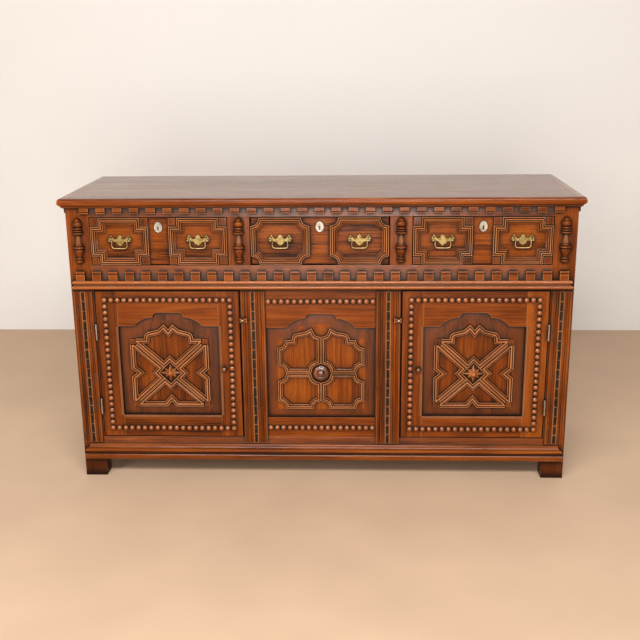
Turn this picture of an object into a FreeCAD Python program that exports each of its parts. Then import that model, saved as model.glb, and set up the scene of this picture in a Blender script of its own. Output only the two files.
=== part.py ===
import FreeCAD, Part
import math
import operator
import os
import types

import Sketcher

# Oak dresser base: three drawers over two cupboard doors and a fixed centre panel.
# Millimetres, +Z up, the front faces -Y, the origin lies on the floor under the middle.
# Left-hand pieces are modelled and their right-hand twins are mirrored.

Vector = FreeCAD.Vector
doc = FreeCAD.newDocument("dresser_base")

# Driving sizes: alias, value, what it measures
SIZES = (
    ("top_depth", "530", "front of the moulded edge to the back"),
    ("top_overhang", "20", "moulded edge beyond the posts at the front and the ends"),
    ("top_thickness", "23", "thickness of the top boards"),
    ("top_front_board", "262", "depth of the front board of the top"),
    ("nosing_width", "30", "width of the moulded edge strip"),
    ("nosing_round", "9", "depth of the rounding on the moulded edge"),
    ("post_width", "70", "front and rear posts, across the front"),
    ("post_depth", "56", "front posts, front to back"),
    ("rear_post_depth", "44", "rear posts, front to back"),
    ("rail_depth", "32", "front rails, dividers and muntins, front to back"),
    ("foot_height", "65", "floor to the underside of the base rail"),
    ("base_rail_height", "73", "base rail under the doors"),
    ("door_opening_height", "489", "base rail to waist rail"),
    ("waist_rail_height", "78", "rail between doors and drawers"),
    ("drawer_opening_height", "150", "waist rail to frieze rail"),
    ("frieze_rail_height", "36", "rail under the top"),
    ("door_opening_width", "456", "post to muntin"),
    ("centre_drawer_width", "426", "opening of the centre drawer"),
    ("divider_width", "68", "uprights between the drawers"),
    ("centre_width", "342", "opening of the fixed centre panel"),
    ("muntin_width", "79", "uprights beside the centre panel"),
    ("tenon_length", "26", "tenons of the rails"),
    ("tenon_thickness", "12", "tenons of the rails"),
    ("tenon_shoulder", "10", "set-back of a tenon from its rail's edges and face"),
    ("stub_length", "8", "stub tenons of the dividers and muntins"),
    ("side_rail_thickness", "26", "rails of the ends"),
    ("side_top_rail_height", "78", "upper rail of an end"),
    ("side_mid_rail_height", "60", "middle rail of an end and of the back"),
    ("side_low_rail_height", "82", "lower rail of an end"),
    ("back_board_thickness", "12", "upright boards of the back"),
    ("back_board_count", "8", "boards in the back"),
    ("floor_thickness", "14", "boards of the cupboard floor"),
    ("floor_board_count", "8", "boards in the cupboard floor"),
    ("floor_seat", "10", "bearing of the floor on the base rail"),
    ("cleat", "20", "square cleat under the ends of the floor"),
    ("panel_thickness", "8", "edge of a panel in its groove"),
    ("panel_tongue", "8", "depth of a panel groove"),
    ("panel_float", "1", "room left round a panel in its groove"),
    ("side_panel_inset", "8", "groove of an end panel behind the rail's face"),
    ("side_panel_bevel", "34", "bevel round the field of an end panel"),
    ("side_panel_rise", "6", "field of an end panel above its bevel"),
    ("runner_width", "40", "drawer runner under a drawer"),
    ("runner_height", "20", "drawer runners and the guides above them"),
    ("drawer_gap", "1.5", "gap round a drawer front"),
    ("drawer_lift", "0.3", "drawer sides above their runners"),
    ("drawer_recess", "4", "drawer fronts behind the posts"),
    ("drawer_front_thickness", "22", "drawer front"),
    ("drawer_side_thickness", "12", "sides and back of a drawer"),
    ("drawer_side_height", "128", "sides and back of a drawer"),
    ("drawer_lap", "10", "drawer side let into the front"),
    ("drawer_length", "430", "drawer, front to back"),
    ("drawer_bottom_thickness", "8", "drawer bottom"),
    ("drawer_bottom_groove", "5", "groove of the drawer bottom"),
    ("drawer_bottom_rise", "8", "drawer bottom above the lower edge of the sides"),
    ("drawer_strip", "60", "plain strip between the moulding frames of a drawer"),
    ("drawer_moulding_width", "23", "moulding on a drawer front"),
    ("drawer_moulding_height", "10", "moulding on a drawer front"),
    ("drawer_corner", "26", "notched or scooped corner of a drawer's frames"),
    ("corner_block_height", "4", "square block in a notched corner"),
    ("corner_block_gap", "1", "gap between a corner block and the moulding"),
    ("plate_length", "70", "back plate of a handle"),
    ("plate_height", "36", "back plate of a handle"),
    ("plate_thickness", "1.6", "back plates and escutcheons"),
    ("plate_rise", "3", "handle plate above the middle of the front"),
    ("pierce_radius", "3", "piercings of a back plate"),
    ("lug_spacing", "59", "lugs that carry a bail"),
    ("lug_width", "6", "lug along the bail's axis"),
    ("lug_size", "8", "lug across the bail's axis"),
    ("bail_standoff", "8", "bail axis in front of the back plate"),
    ("bail_width", "47", "bail between the middles of its arms"),
    ("bail_drop", "24", "bail axis to the middle of the grip"),
    ("bail_corner", "5", "cut corner between an arm and the grip of a bail"),
    ("bail_pin", "9", "pin of a bail, from its arm through the lug"),
    ("bail_radius", "2", "bail wire"),
    ("bail_clearance", "0.4", "bail pin in its lug"),
    ("escutcheon_width", "26", "keyhole plate"),
    ("escutcheon_height", "34", "keyhole plate"),
    ("escutcheon_rise", "44", "keyhole above the middle of a drawer front"),
    ("keyhole_radius", "2.6", "round of the keyhole"),
    ("keyhole_slot", "3", "slot of the keyhole"),
    ("keyhole_drop", "9", "slot below the round"),
    ("lock_width", "60", "drawer lock"),
    ("lock_height", "44", "drawer lock"),
    ("lock_thickness", "10", "drawer lock let into the front"),
    ("door_gap", "1.5", "gap round a door"),
    ("door_thickness", "24", "door frame"),
    ("door_proud", "3.4", "door face in front of the posts"),
    ("stile_width", "68", "door stiles"),
    ("door_low_rail", "74", "bottom rail of a door"),
    ("door_top_rail", "115", "top rail of a door at the shoulders"),
    ("groove_setback", "9", "panel groove behind the face of a frame"),
    ("field_rise", "7", "raised field of a front panel above its edge"),
    ("arch_crown_half", "33", "half the level crown of an arched rail"),
    ("arch_step", "15", "quarter round beside the crown"),
    ("arch_sweep", "59", "sweep from the step to the shoulder"),
    ("arch_sweep_rise", "29", "rise of the sweep"),
    ("bevel_side", "33", "bevel of a front panel at its sides"),
    ("bevel_low", "29", "bevel of a front panel at its lower edge"),
    ("bevel_top", "38", "bevel of a front panel at its shoulders"),
    ("moulding_margin", "2.5", "field left outside the panel mouldings"),
    ("panel_moulding_width", "15", "mouldings on the front panels"),
    ("panel_moulding_height", "9", "mouldings on the front panels"),
    ("moulding_gap", "1.4", "groove between neighbouring frames"),
    ("shoulder_length", "46", "level shoulder of a field and its upper frame"),
    ("sweep_run", "20", "sweep beside the shoulder, across"),
    ("sweep_rise", "23", "sweep beside the shoulder, upwards"),
    ("crown_half", "22", "half the level crown of a field"),
    ("peak_rise", "49", "peak of the upper frame above its shoulder"),
    ("centre_peak_rise", "39", "peak of the centre's upper frames above their shoulder"),
    ("notch_half", "14", "half width of a pointed notch"),
    ("notch_depth", "17", "depth of a pointed notch"),
    ("frame_corner", "20", "square block at a corner of a door's frames"),
    ("boss_opening", "35", "half diagonal of the square left for the boss"),
    ("boss_half_width", "34", "pointed boss"),
    ("boss_half_height", "27", "pointed boss"),
    ("boss_height", "11", "pointed boss"),
    ("boss_button", "7.5", "button on the pointed boss"),
    ("centre_low_rail", "68", "rail under the centre panel"),
    ("centre_top_rail", "122", "rail over the centre panel at the shoulders"),
    ("centre_boss_lift", "5", "round boss above the middle of its frames"),
    ("centre_boss_radius", "27", "round boss"),
    ("centre_boss_height", "15", "round boss"),
    ("scoop_boss", "31", "scoop round the centre boss"),
    ("scoop_edge", "26", "scoops at the sides and corners of the centre frames"),
    ("scoop_crown", "28", "scoop at the crown of the centre frames"),
    ("bead_radius", "8.4", "half-round beads"),
    ("bead_height", "7.6", "half-round beads"),
    ("bead_pitch", "20.5", "wanted spacing of the beads"),
    ("bead_inset", "30", "bead line from the edges of a door"),
    ("bead_fillet_width", "13", "flat strip under the beads"),
    ("bead_fillet_height", "1.5", "flat strip under the beads"),
    ("centre_bead_high", "37", "upper bead line under the waist rail"),
    ("centre_bead_low", "33", "lower bead line above the base rail"),
    ("knob_radius", "8", "door knob"),
    ("knob_length", "15", "door knob"),
    ("knob_inset", "54", "door knob from the free edge"),
    ("knob_rise", "233", "door knob above the base rail"),
    ("hinge_height", "52", "butt hinges"),
    ("hinge_low", "80", "lower hinge above the base rail"),
    ("hinge_high", "328", "upper hinge above the base rail"),
    ("hinge_leaf", "2", "thickness of a hinge leaf"),
    ("hinge_leaf_depth", "20", "hinge leaf let into the wood"),
    ("hinge_out", "7.2", "hinge axis in front of the posts"),
    ("knuckle_radius", "3.4", "hinge knuckles"),
    ("pin_radius", "1.5", "hinge pins"),
    ("pin_clearance", "0.2", "hinge pins and the ends of the knuckles"),
    ("pilaster_thickness", "4", "reeded pilasters"),
    ("post_pilaster_width", "60", "pilaster on a post"),
    ("muntin_pilaster_width", "75", "pilaster on a muntin"),
    ("pilaster_top_gap", "5", "pilasters below the waist rail"),
    ("pilaster_overlap", "19", "pilasters over the base rail"),
    ("channel_width", "11.5", "inlaid channel of a pilaster"),
    ("channel_depth", "3", "inlaid channel of a pilaster"),
    ("reed_width", "8", "reeds of a pilaster"),
    ("reed_groove", "2", "depth of the grooves between the reeds"),
    ("inlay_thickness", "2.6", "banding in the channel of a pilaster"),
    ("baluster_radius", "18", "split balusters"),
    ("baluster_height", "144", "split balusters"),
    ("baluster_rise", "7", "split balusters above the waist rail"),
    ("cornice_out", "11", "fillet of the cornice in front of the frieze"),
    ("cornice_fillet", "7", "height of the fillet"),
    ("dentil_pitch", "51.2", "dentils of the cornice and the waist"),
    ("dentil_width", "27", "dentils of the cornice and the waist"),
    ("cornice_dentil_height", "18", "dentils of the cornice"),
    ("cornice_dentil_out", "9.5", "dentils of the cornice"),
    ("waist_moulding_height", "28", "moulding under the waist dentils"),
    ("waist_moulding_rise", "3", "waist moulding above the doors"),
    ("waist_moulding_out", "15", "waist moulding"),
    ("waist_moulding_setback", "21", "foot of the waist moulding's return from the case's end"),
    ("waist_dentil_height", "29", "dentils of the waist"),
    ("waist_dentil_out", "9", "dentils of the waist"),
    ("base_moulding_height", "49", "base moulding"),
    ("base_moulding_out", "19", "base moulding"),
    ("base_moulding_setback", "25", "foot of the base moulding's return from the case's end"),
    ("button_short", "8", "short end of a turn button"),
    ("button_long", "14", "long end of a turn button"),
    ("button_half", "7", "half height of a turn button's ends"),
    ("button_waist", "4", "half height of a turn button at its screw"),
    ("button_thickness", "5", "turn buttons"),
    ("button_gap", "0.6", "short end of a turn button from the door"),
    ("button_lift", "0.2", "turn button above the pilaster"),
    ("button_rise", "393", "turn buttons above the base rail"),
    ("screw_radius", "1.8", "screw of a turn button"),
    ("screw_clearance", "0.2", "screw in its turn button"),
    ("screw_head_radius", "3.4", "screw of a turn button"),
    ("screw_head_height", "1.6", "screw of a turn button"),
)

sheet = doc.addObject("Spreadsheet::Sheet", "sizes")
for row, (alias, value, note) in enumerate(SIZES, start=1):
    sheet.set(f"A{row}", note)
    sheet.set(f"B{row}", value)
    sheet.setAlias(f"B{row}", alias)
doc.recompute()


class Size:
    """A length that carries its expression on the sheet and its present value."""

    def __init__(self, text, value):
        self.text = text
        self.value = value

    def __add__(self, other):
        return combined(operator.add, "+", self, other)

    def __radd__(self, other):
        return combined(operator.add, "+", other, self)

    def __sub__(self, other):
        return combined(operator.sub, "-", self, other)

    def __rsub__(self, other):
        return combined(operator.sub, "-", other, self)

    def __mul__(self, other):
        return combined(operator.mul, "*", self, other)

    def __rmul__(self, other):
        return combined(operator.mul, "*", other, self)

    def __truediv__(self, other):
        return combined(operator.truediv, "/", self, other)

    def __neg__(self):
        return combined(operator.mul, "*", -1, self)

    def __float__(self):
        return float(self.value)


def sized(value):
    """A plain number as a Size; a Size as it is."""
    return value if isinstance(value, Size) else Size(str(value), value)


def combined(action, sign, left, right):
    left = sized(left)
    right = sized(right)
    return Size(f"({left.text} {sign} {right.text})", action(left.value, right.value))


S = types.SimpleNamespace(**{alias: Size(f"sizes.{alias}", sheet.get(alias)) for alias, _, _ in SIZES})

# Places shared by many pieces
half_case = S.centre_width / 2 + S.muntin_width + S.door_opening_width + S.post_width
front = S.top_overhang - S.top_depth / 2
back = S.top_depth / 2
post_in = half_case - S.post_width
post_back = front + S.post_depth
rail_back = front + S.rail_depth
rear_post_front = back - S.rear_post_depth
board_front = back - S.back_board_thickness
side_in = half_case - S.side_rail_thickness
base_top = S.foot_height + S.base_rail_height
door_top = base_top + S.door_opening_height
waist_top = door_top + S.waist_rail_height
drawer_top = waist_top + S.drawer_opening_height
case_top = drawer_top + S.frieze_rail_height
top_face = case_top + S.top_thickness
divider_in = S.centre_drawer_width / 2
divider_out = divider_in + S.divider_width
muntin_in = S.centre_width / 2
muntin_out = muntin_in + S.muntin_width
floor_low = base_top - S.floor_thickness
runner_low = waist_top - S.runner_height
drawer_face = front + S.drawer_recess
drawer_middle = (waist_top + drawer_top) / 2
door_face = front - S.door_proud
door_back = door_face + S.door_thickness
door_hinge_edge = post_in - S.door_gap
door_free_edge = muntin_out + S.door_gap
door_low = base_top + S.door_gap
door_high = door_top - S.door_gap
pilaster_face = front - S.pilaster_thickness

# Flats that stand for a small round, and straight cuts that make up a scooped corner
PEG_FLAT_COUNT = 6
BORE_FLAT_COUNT = 12
BEAD_FLAT_COUNT = 5
TURNING_FLAT_COUNT = 10
SPLIT_FLAT_COUNT = 4
BOSS_FLAT_COUNT = 12
SCOOP_CHORD_COUNT = 3

nodes = []


# Modelling helpers

def bind(item, **values):
    """Binds an object's properties to sizes."""
    for name, value in values.items():
        item.setExpression(name, sized(value).text)
    return item


def put(item, x=0, y=0, z=0):
    """Sets an object's place from sizes."""
    for axis, value in zip("xyz", (x, y, z)):
        item.setExpression(f"Placement.Base.{axis}", sized(value).text)
    return item


def block(label, x, y, z):
    """A squared timber between two places on each axis."""
    box = doc.addObject("Part::Box", label)
    box.Label = label
    bind(box, Length=x[1] - x[0], Width=y[1] - y[0], Height=z[1] - z[0])
    return put(box, x[0], y[0], z[0])


TURNS = {
    "x": FreeCAD.Rotation(Vector(0, 1, 0), 90),
    "y": FreeCAD.Rotation(Vector(1, 0, 0), -90),
    "z": FreeCAD.Rotation(),
}


def rod(label, axis, radius, length, x, y, z):
    """A round bar from a place along one axis."""
    bar = doc.addObject("Part::Cylinder", label)
    bar.Label = label
    bar.Placement = FreeCAD.Placement(Vector(), TURNS[axis])
    bind(bar, Radius=radius, Height=length)
    return put(bar, x, y, z)


def peg(label, axis, radius, length, x, y, z, flats=PEG_FLAT_COUNT):
    """A small bar worked in flats from a place along one axis."""
    bar = doc.addObject("Part::Prism", label)
    bar.Label = label
    bar.Polygon = flats
    bar.Placement = FreeCAD.Placement(Vector(), TURNS[axis])
    bind(bar, Circumradius=radius, Height=length)
    return put(bar, x, y, z)


def group(label, *items):
    """Separate solids under one name."""
    compound = doc.addObject("Part::Compound", label)
    compound.Label = label
    compound.Links = list(items)
    return compound


def fuse(label, *items):
    joined = doc.addObject("Part::MultiFuse", label)
    joined.Label = label
    joined.Shapes = list(items)
    joined.Refine = True
    return joined


def cut(label, base, *tools):
    trimmed = doc.addObject("Part::Cut", label)
    trimmed.Label = label
    trimmed.Base = base
    trimmed.Refine = True
    trimmed.Tool = tools[0] if len(tools) == 1 else group(f"{label}_cuts", *tools)
    return trimmed


def mirrored(label, item):
    """The right-hand twin of a left-hand piece."""
    twin = doc.addObject("Part::Mirroring", label)
    twin.Label = label
    twin.Source = item
    twin.Normal = Vector(1, 0, 0)
    return twin


def pair(label, item):
    """A left-hand piece and its twin as one node."""
    return node(group(label, item, mirrored(f"{label}_twin", item)))


def node(item):
    """Marks an object as a finished piece; its label names its file."""
    nodes.append(item)
    return item


def shaped(label, shape):
    """An object for a form that is worked out point by point."""
    item = doc.addObject("Part::Feature", label)
    item.Label = label
    item.Shape = shape
    item.Placement = FreeCAD.Placement()
    return item


def make_body(label, x=0, y=0, z=0):
    body = doc.addObject("PartDesign::Body", label)
    body.Label = label
    body.AllowCompound = True
    return put(body, x, y, z)


def origin_part(body, role):
    return next(item for item in body.Origin.OriginFeatures if item.Role == role)


def arc_between(start, end, radius):
    """The short arc from start to end that bulges to the left of its way."""
    chord = end - start
    half = chord.Length / 2
    side = Vector(chord.y, -chord.x, 0).normalize()
    middle = (start + end) * 0.5 + side * math.sqrt(max(radius * radius - half * half, 0))
    angles = [math.atan2(point.y - middle.y, point.x - middle.x) for point in (end, start)]
    circle = Part.Circle(middle, Vector(0, 0, 1), radius)
    return Part.ArcOfCircle(circle, *angles)


def outline(body, name, plane, corners, lift=0):
    """A closed sketch through corners (u, v), or (u, v, radius) where an arc leaves the corner.

    Every corner and radius is bound to the sheet.
    """
    sketch = body.newObject("Sketcher::SketchObject", name)
    sketch.AttachmentSupport = [(origin_part(body, plane), "")]
    sketch.MapMode = "FlatFace"
    sketch.setExpression("AttachmentOffset.Base.z", sized(lift).text)
    points = [Vector(float(corner[0]), float(corner[1]), 0) for corner in corners]
    count = len(corners)
    ends = []
    for index, corner in enumerate(corners):
        start = points[index]
        end = points[(index + 1) % count]
        radius = float(corner[2]) if len(corner) > 2 else 0
        side = arc_between(start, end, radius) if radius else Part.LineSegment(start, end)
        sketch.addGeometry(side)
        ends.append((2, 1) if radius > 0 else (1, 2))

    for index, corner in enumerate(corners):
        follower = (index + 1) % count
        sketch.addConstraint(
            Sketcher.Constraint("Coincident", index, ends[index][1], follower, ends[follower][0])
        )
        for kind, axis, value in (("DistanceX", -2, corner[0]), ("DistanceY", -1, corner[1])):
            if float(value) == 0:
                sketch.addConstraint(Sketcher.Constraint("PointOnObject", index, ends[index][0], axis))
                continue
            rule = Sketcher.Constraint(kind, -1, 1, index, ends[index][0], float(value))
            sketch.setExpression(f"Constraints[{sketch.addConstraint(rule)}]", sized(value).text)
        if len(corner) > 2:
            rule = sketch.addConstraint(Sketcher.Constraint("Radius", index, float(corner[2])))
            sketch.setExpression(f"Constraints[{rule}]", corner[2].text)
    return sketch


def pad(body, sketch, length):
    feature = body.newObject("PartDesign::Pad", f"{body.Name}_pad")
    feature.Profile = sketch
    bind(feature, Length=length)
    return feature


def row_of(body, feature, axis, count, length):
    """Repeats a feature along one axis of its body, first to last over a length."""
    pattern = body.newObject("PartDesign::LinearPattern", f"{body.Name}_row")
    pattern.Originals = [feature]
    pattern.Direction = (origin_part(body, axis), [""])
    pattern.Mode = "Extent"
    bind(pattern, Length=length, Occurrences=count)
    body.Tip = pattern
    return pattern


def flat_faces(corners):
    """One flat face through the corners, or two triangles where four corners aren't flat."""
    kept = []
    for corner in corners:
        if all(corner.distanceToPoint(other) > 1e-6 for other in kept):
            kept.append(corner)
    if len(kept) < 3:
        return []
    if len(kept) == 4:
        a, b, c = (kept[i] - kept[0] for i in (1, 2, 3))
        if abs(a.cross(b).dot(c)) > 1e-4:
            return flat_faces(kept[:3]) + flat_faces([kept[0], kept[2], kept[3]])
    return [Part.Face(Part.makePolygon(kept + kept[:1]))]


def skinned(rings, closed=False):
    """A solid whose skin joins each ring of points to the next."""
    faces = []
    steps = list(zip(rings, rings[1:] + rings[:1]))
    if not closed:
        steps.pop()
        faces += flat_faces(rings[0]) + flat_faces(rings[-1])
    for near, far in steps:
        for index in range(len(near)):
            other = (index + 1) % len(near)
            faces += flat_faces([near[index], near[other], far[other], far[index]])
    solid = Part.Solid(Part.Shell(faces))
    return solid.reversed() if solid.Volume < 0 else solid


def turned(middle, profile, to_space, flats):
    """A turning worked in flats about a middle; the profile is (radius, rise) from the foot up."""
    return skinned([
        [to_space(u, v, rise) for u, v in ring_points(middle, radius, flats)] for radius, rise in profile
    ])


def left_of(start, end):
    length = math.dist(start, end)
    return (start[1] - end[1]) / length, (end[0] - start[0]) / length


def mitred_rings(path, profile, to_space, closed=False):
    """Rings of a moulding along a path, mitred at its corners.

    The profile is a list of (inset, rise), with the inset to the left of the path.
    """
    rings = []
    for index, (u, v) in enumerate(path):
        sides = []
        if closed or index > 0:
            sides.append(left_of(path[index - 1], path[index]))
        if closed or index < len(path) - 1:
            sides.append(left_of(path[index], path[(index + 1) % len(path)]))
        (a, b), (c, d) = sides[0], sides[-1]
        scale = 1 + a * c + b * d
        across = (a + c) / scale
        along = (b + d) / scale
        rings.append([to_space(u + inset * across, v + inset * along, rise) for inset, rise in profile])
    return rings


def upright(face):
    """Maps an outline seen from the front, with its rise towards the viewer."""
    return lambda u, v, rise: Vector(u, float(face) - rise, v)


def level(height=0):
    """Maps an outline seen from above, with its rise upwards."""
    return lambda u, v, rise: Vector(u, v, float(height) + rise)


def arc_points(middle, radius, first, last, chords):
    """Points on an arc between two angles in degrees."""
    angles = [math.radians(first + (last - first) * step / chords) for step in range(chords + 1)]
    return [(middle[0] + radius * math.cos(a), middle[1] + radius * math.sin(a)) for a in angles]


def ring_points(middle, radius, count, first=0):
    """Points evenly round a full circle."""
    return arc_points(middle, radius, first, first + 360, count)[:-1]


def sweep_points(outer, inner, chords):
    """Points of a sweep that climbs from the outer point and ends level at the inner one."""
    run = outer[0] - inner[0]
    rise = inner[1] - outer[1]
    radius = (run * run + rise * rise) / (2 * rise)
    start = math.degrees(math.atan2(outer[1] - (inner[1] - radius), run))
    return arc_points((inner[0], inner[1] - radius), radius, start, 90, chords)


def cove_points(outer, inner, chords):
    """Points of a cove that leaves the outer point level and climbs to the inner one."""
    middle = (outer[0] + inner[0], outer[1] + inner[1])
    return [(middle[0] - u, middle[1] - v) for u, v in reversed(sweep_points(outer, inner, chords))]


def both_halves(right_half):
    """A closed outline, anticlockwise, from its right half listed upwards."""
    left_half = [(-u, v) for u, v in reversed(right_half) if u > 1e-9]
    return right_half + left_half


def shifted(points, u, v):
    return [(float(u) + point[0], float(v) + point[1]) for point in points]


# Top

def make_top():
    """Two boards and a moulded edge, mitred at the front corners."""
    end = half_case + S.top_overhang - S.nosing_width
    front_edge = S.nosing_width - S.top_depth / 2
    seam = front_edge + S.top_front_board
    thickness = (case_top, top_face)
    node(group(
        "top_boards",
        block("front_top_board", (-end, end), (front_edge, seam), thickness),
        block("rear_top_board", (-end, end), (seam, back), thickness),
    ))
    tip = float(half_case + S.top_overhang)
    rear = float(back)
    path = [(-tip, rear), (-tip, -rear), (tip, -rear), (tip, rear)]
    depth = float(S.nosing_round)
    half = float(S.top_thickness) / 2
    nose = [
        (depth - depth * math.cos(math.radians(angle)), half + half * math.sin(math.radians(angle)))
        for angle in range(-90, 91, 30)
    ]
    width = float(S.nosing_width)
    profile = nose + [(width, 2 * half), (width, 0)]
    rings = mitred_rings(path, profile, level(case_top))
    strips = [skinned(rings[i:i + 2]) for i in range(3)]
    node(shaped("top_edge_moulding", Part.Compound(strips)))


def dentil_profile(out, height):
    """A dentil from the side, (distance from the wall, height): sloped foot and a leaning face."""
    return [
        (0, 0),
        (out, height * 0.42),
        (out * 0.78, height),
        (0, height),
    ]


def make_cornice():
    """Hanging dentils under a fillet, round the front and both ends."""
    side = float(half_case)
    face = float(front)
    rear = float(back)
    out = float(S.cornice_out)
    fillet = float(S.cornice_fillet)
    path = [(-side, rear), (-side, face), (side, face), (side, rear)]
    profile = [(0, -fillet), (-out * 0.7, -fillet), (-out, -fillet * 0.5), (-out, 0), (0, 0)]
    rings = mitred_rings(path, profile, level(case_top))
    strips = [skinned(rings[i:i + 2]) for i in range(3)]
    foot = case_top - S.cornice_fillet - S.cornice_dentil_height
    half_width = float(S.dentil_width) / 2
    pitch = float(S.dentil_pitch)
    dentil = [(-u, v) for u, v in dentil_profile(float(S.cornice_dentil_out), float(S.cornice_dentil_height))]
    front_steps = int((side - 2 * half_width) // pitch)
    corner_in = side - (front_steps + 1) * pitch + half_width
    lengths = [[(step * pitch - half_width, face), (step * pitch + half_width, face)]
               for step in range(-front_steps, front_steps + 1)]
    for sign in (-1, 1):
        corner = [(-side, face + corner_in), (-side, face), (corner_in - side, face)]
        ends = [[(-side, face + place + half_width), (-side, face + place - half_width)]
                for place in end_places(corner_in, rear - face, pitch, half_width)]
        for run in [corner] + ends:
            lengths.append(run if sign < 0 else [(-u, v) for u, v in reversed(run)])
    dentils = [skinned(mitred_rings(run, dentil, level(foot))) for run in lengths]
    node(shaped("cornice_moulding", Part.Compound(strips + dentils)))


def end_places(corner, depth, pitch, half_width):
    """Middles of the dentils on an end, from the corner block to the back."""
    first = corner - half_width + pitch
    count = int((depth - half_width - first) // pitch) + 1
    return [first + step * pitch for step in range(count)]


# Carcase

def tenon(label, x, y, z):
    return block(f"{label}_tenon", x, y, z)


def front_rail(label, low, high):
    """A front rail with a tenon into each post; returns the rail and its left tenon."""
    shoulder = S.tenon_shoulder
    left = tenon(
        f"{label}_left",
        (-post_in - S.tenon_length, -post_in),
        (front + shoulder, front + shoulder + S.tenon_thickness),
        (low + shoulder, high - shoulder),
    )
    bar = block(f"{label}_bar", (-post_in, post_in), (front, rail_back), (low, high))
    return fuse(f"{label}_tenoned", bar, left, mirrored(f"{label}_right_tenon", left)), left


def side_rail(label, low, high):
    """A rail of the left end with a tenon into each post; returns the rail and its tenons."""
    thickness = (S.tenon_shoulder - half_case, S.tenon_shoulder + S.tenon_thickness - half_case)
    height = (low + S.tenon_shoulder, high - S.tenon_shoulder)
    fore = tenon(f"{label}_fore", thickness, (post_back - S.tenon_length, post_back), height)
    rear = tenon(f"{label}_rear", thickness, (rear_post_front, rear_post_front + S.tenon_length), height)
    bar = block(f"{label}_bar", (-half_case, -side_in), (post_back, rear_post_front), (low, high))
    return fuse(f"{label}_tenoned", bar, fore, rear), fore, rear


def rear_rail(label, low, high):
    """A rail of the back with a tenon into each rear post; returns the rail and its left tenon."""
    left = tenon(
        f"{label}_left",
        (-post_in - S.tenon_length, -post_in),
        (rear_post_front + S.tenon_shoulder, rear_post_front + S.tenon_shoulder + S.tenon_thickness),
        (low + S.tenon_shoulder, high - S.tenon_shoulder),
    )
    bar = block(f"{label}_bar", (-post_in, post_in), (rear_post_front, board_front), (low, high))
    return fuse(f"{label}_tenoned", bar, left, mirrored(f"{label}_right_tenon", left)), left


def stubbed(label, x, low, high):
    """An upright between two rails with a stub tenon at each end; returns it and its stubs."""
    cheek = S.tenon_shoulder
    stub_x = (x[0] + cheek, x[1] - cheek)
    stub_y = (front + cheek, front + cheek + S.tenon_thickness)
    foot = tenon(f"{label}_foot", stub_x, stub_y, (low - S.stub_length, low))
    head = tenon(f"{label}_head", stub_x, stub_y, (high, high + S.stub_length))
    bar = block(f"{label}_bar", x, (front, rail_back), (low, high))
    return fuse(f"{label}_stubbed", bar, foot, head), foot, head


def panel_groove(label, x, z, face, setback=S.groove_setback):
    """Room for a panel's edge, cut out of a frame."""
    return block(label, x, (face + setback, face + setback + S.panel_thickness), z)


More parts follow.
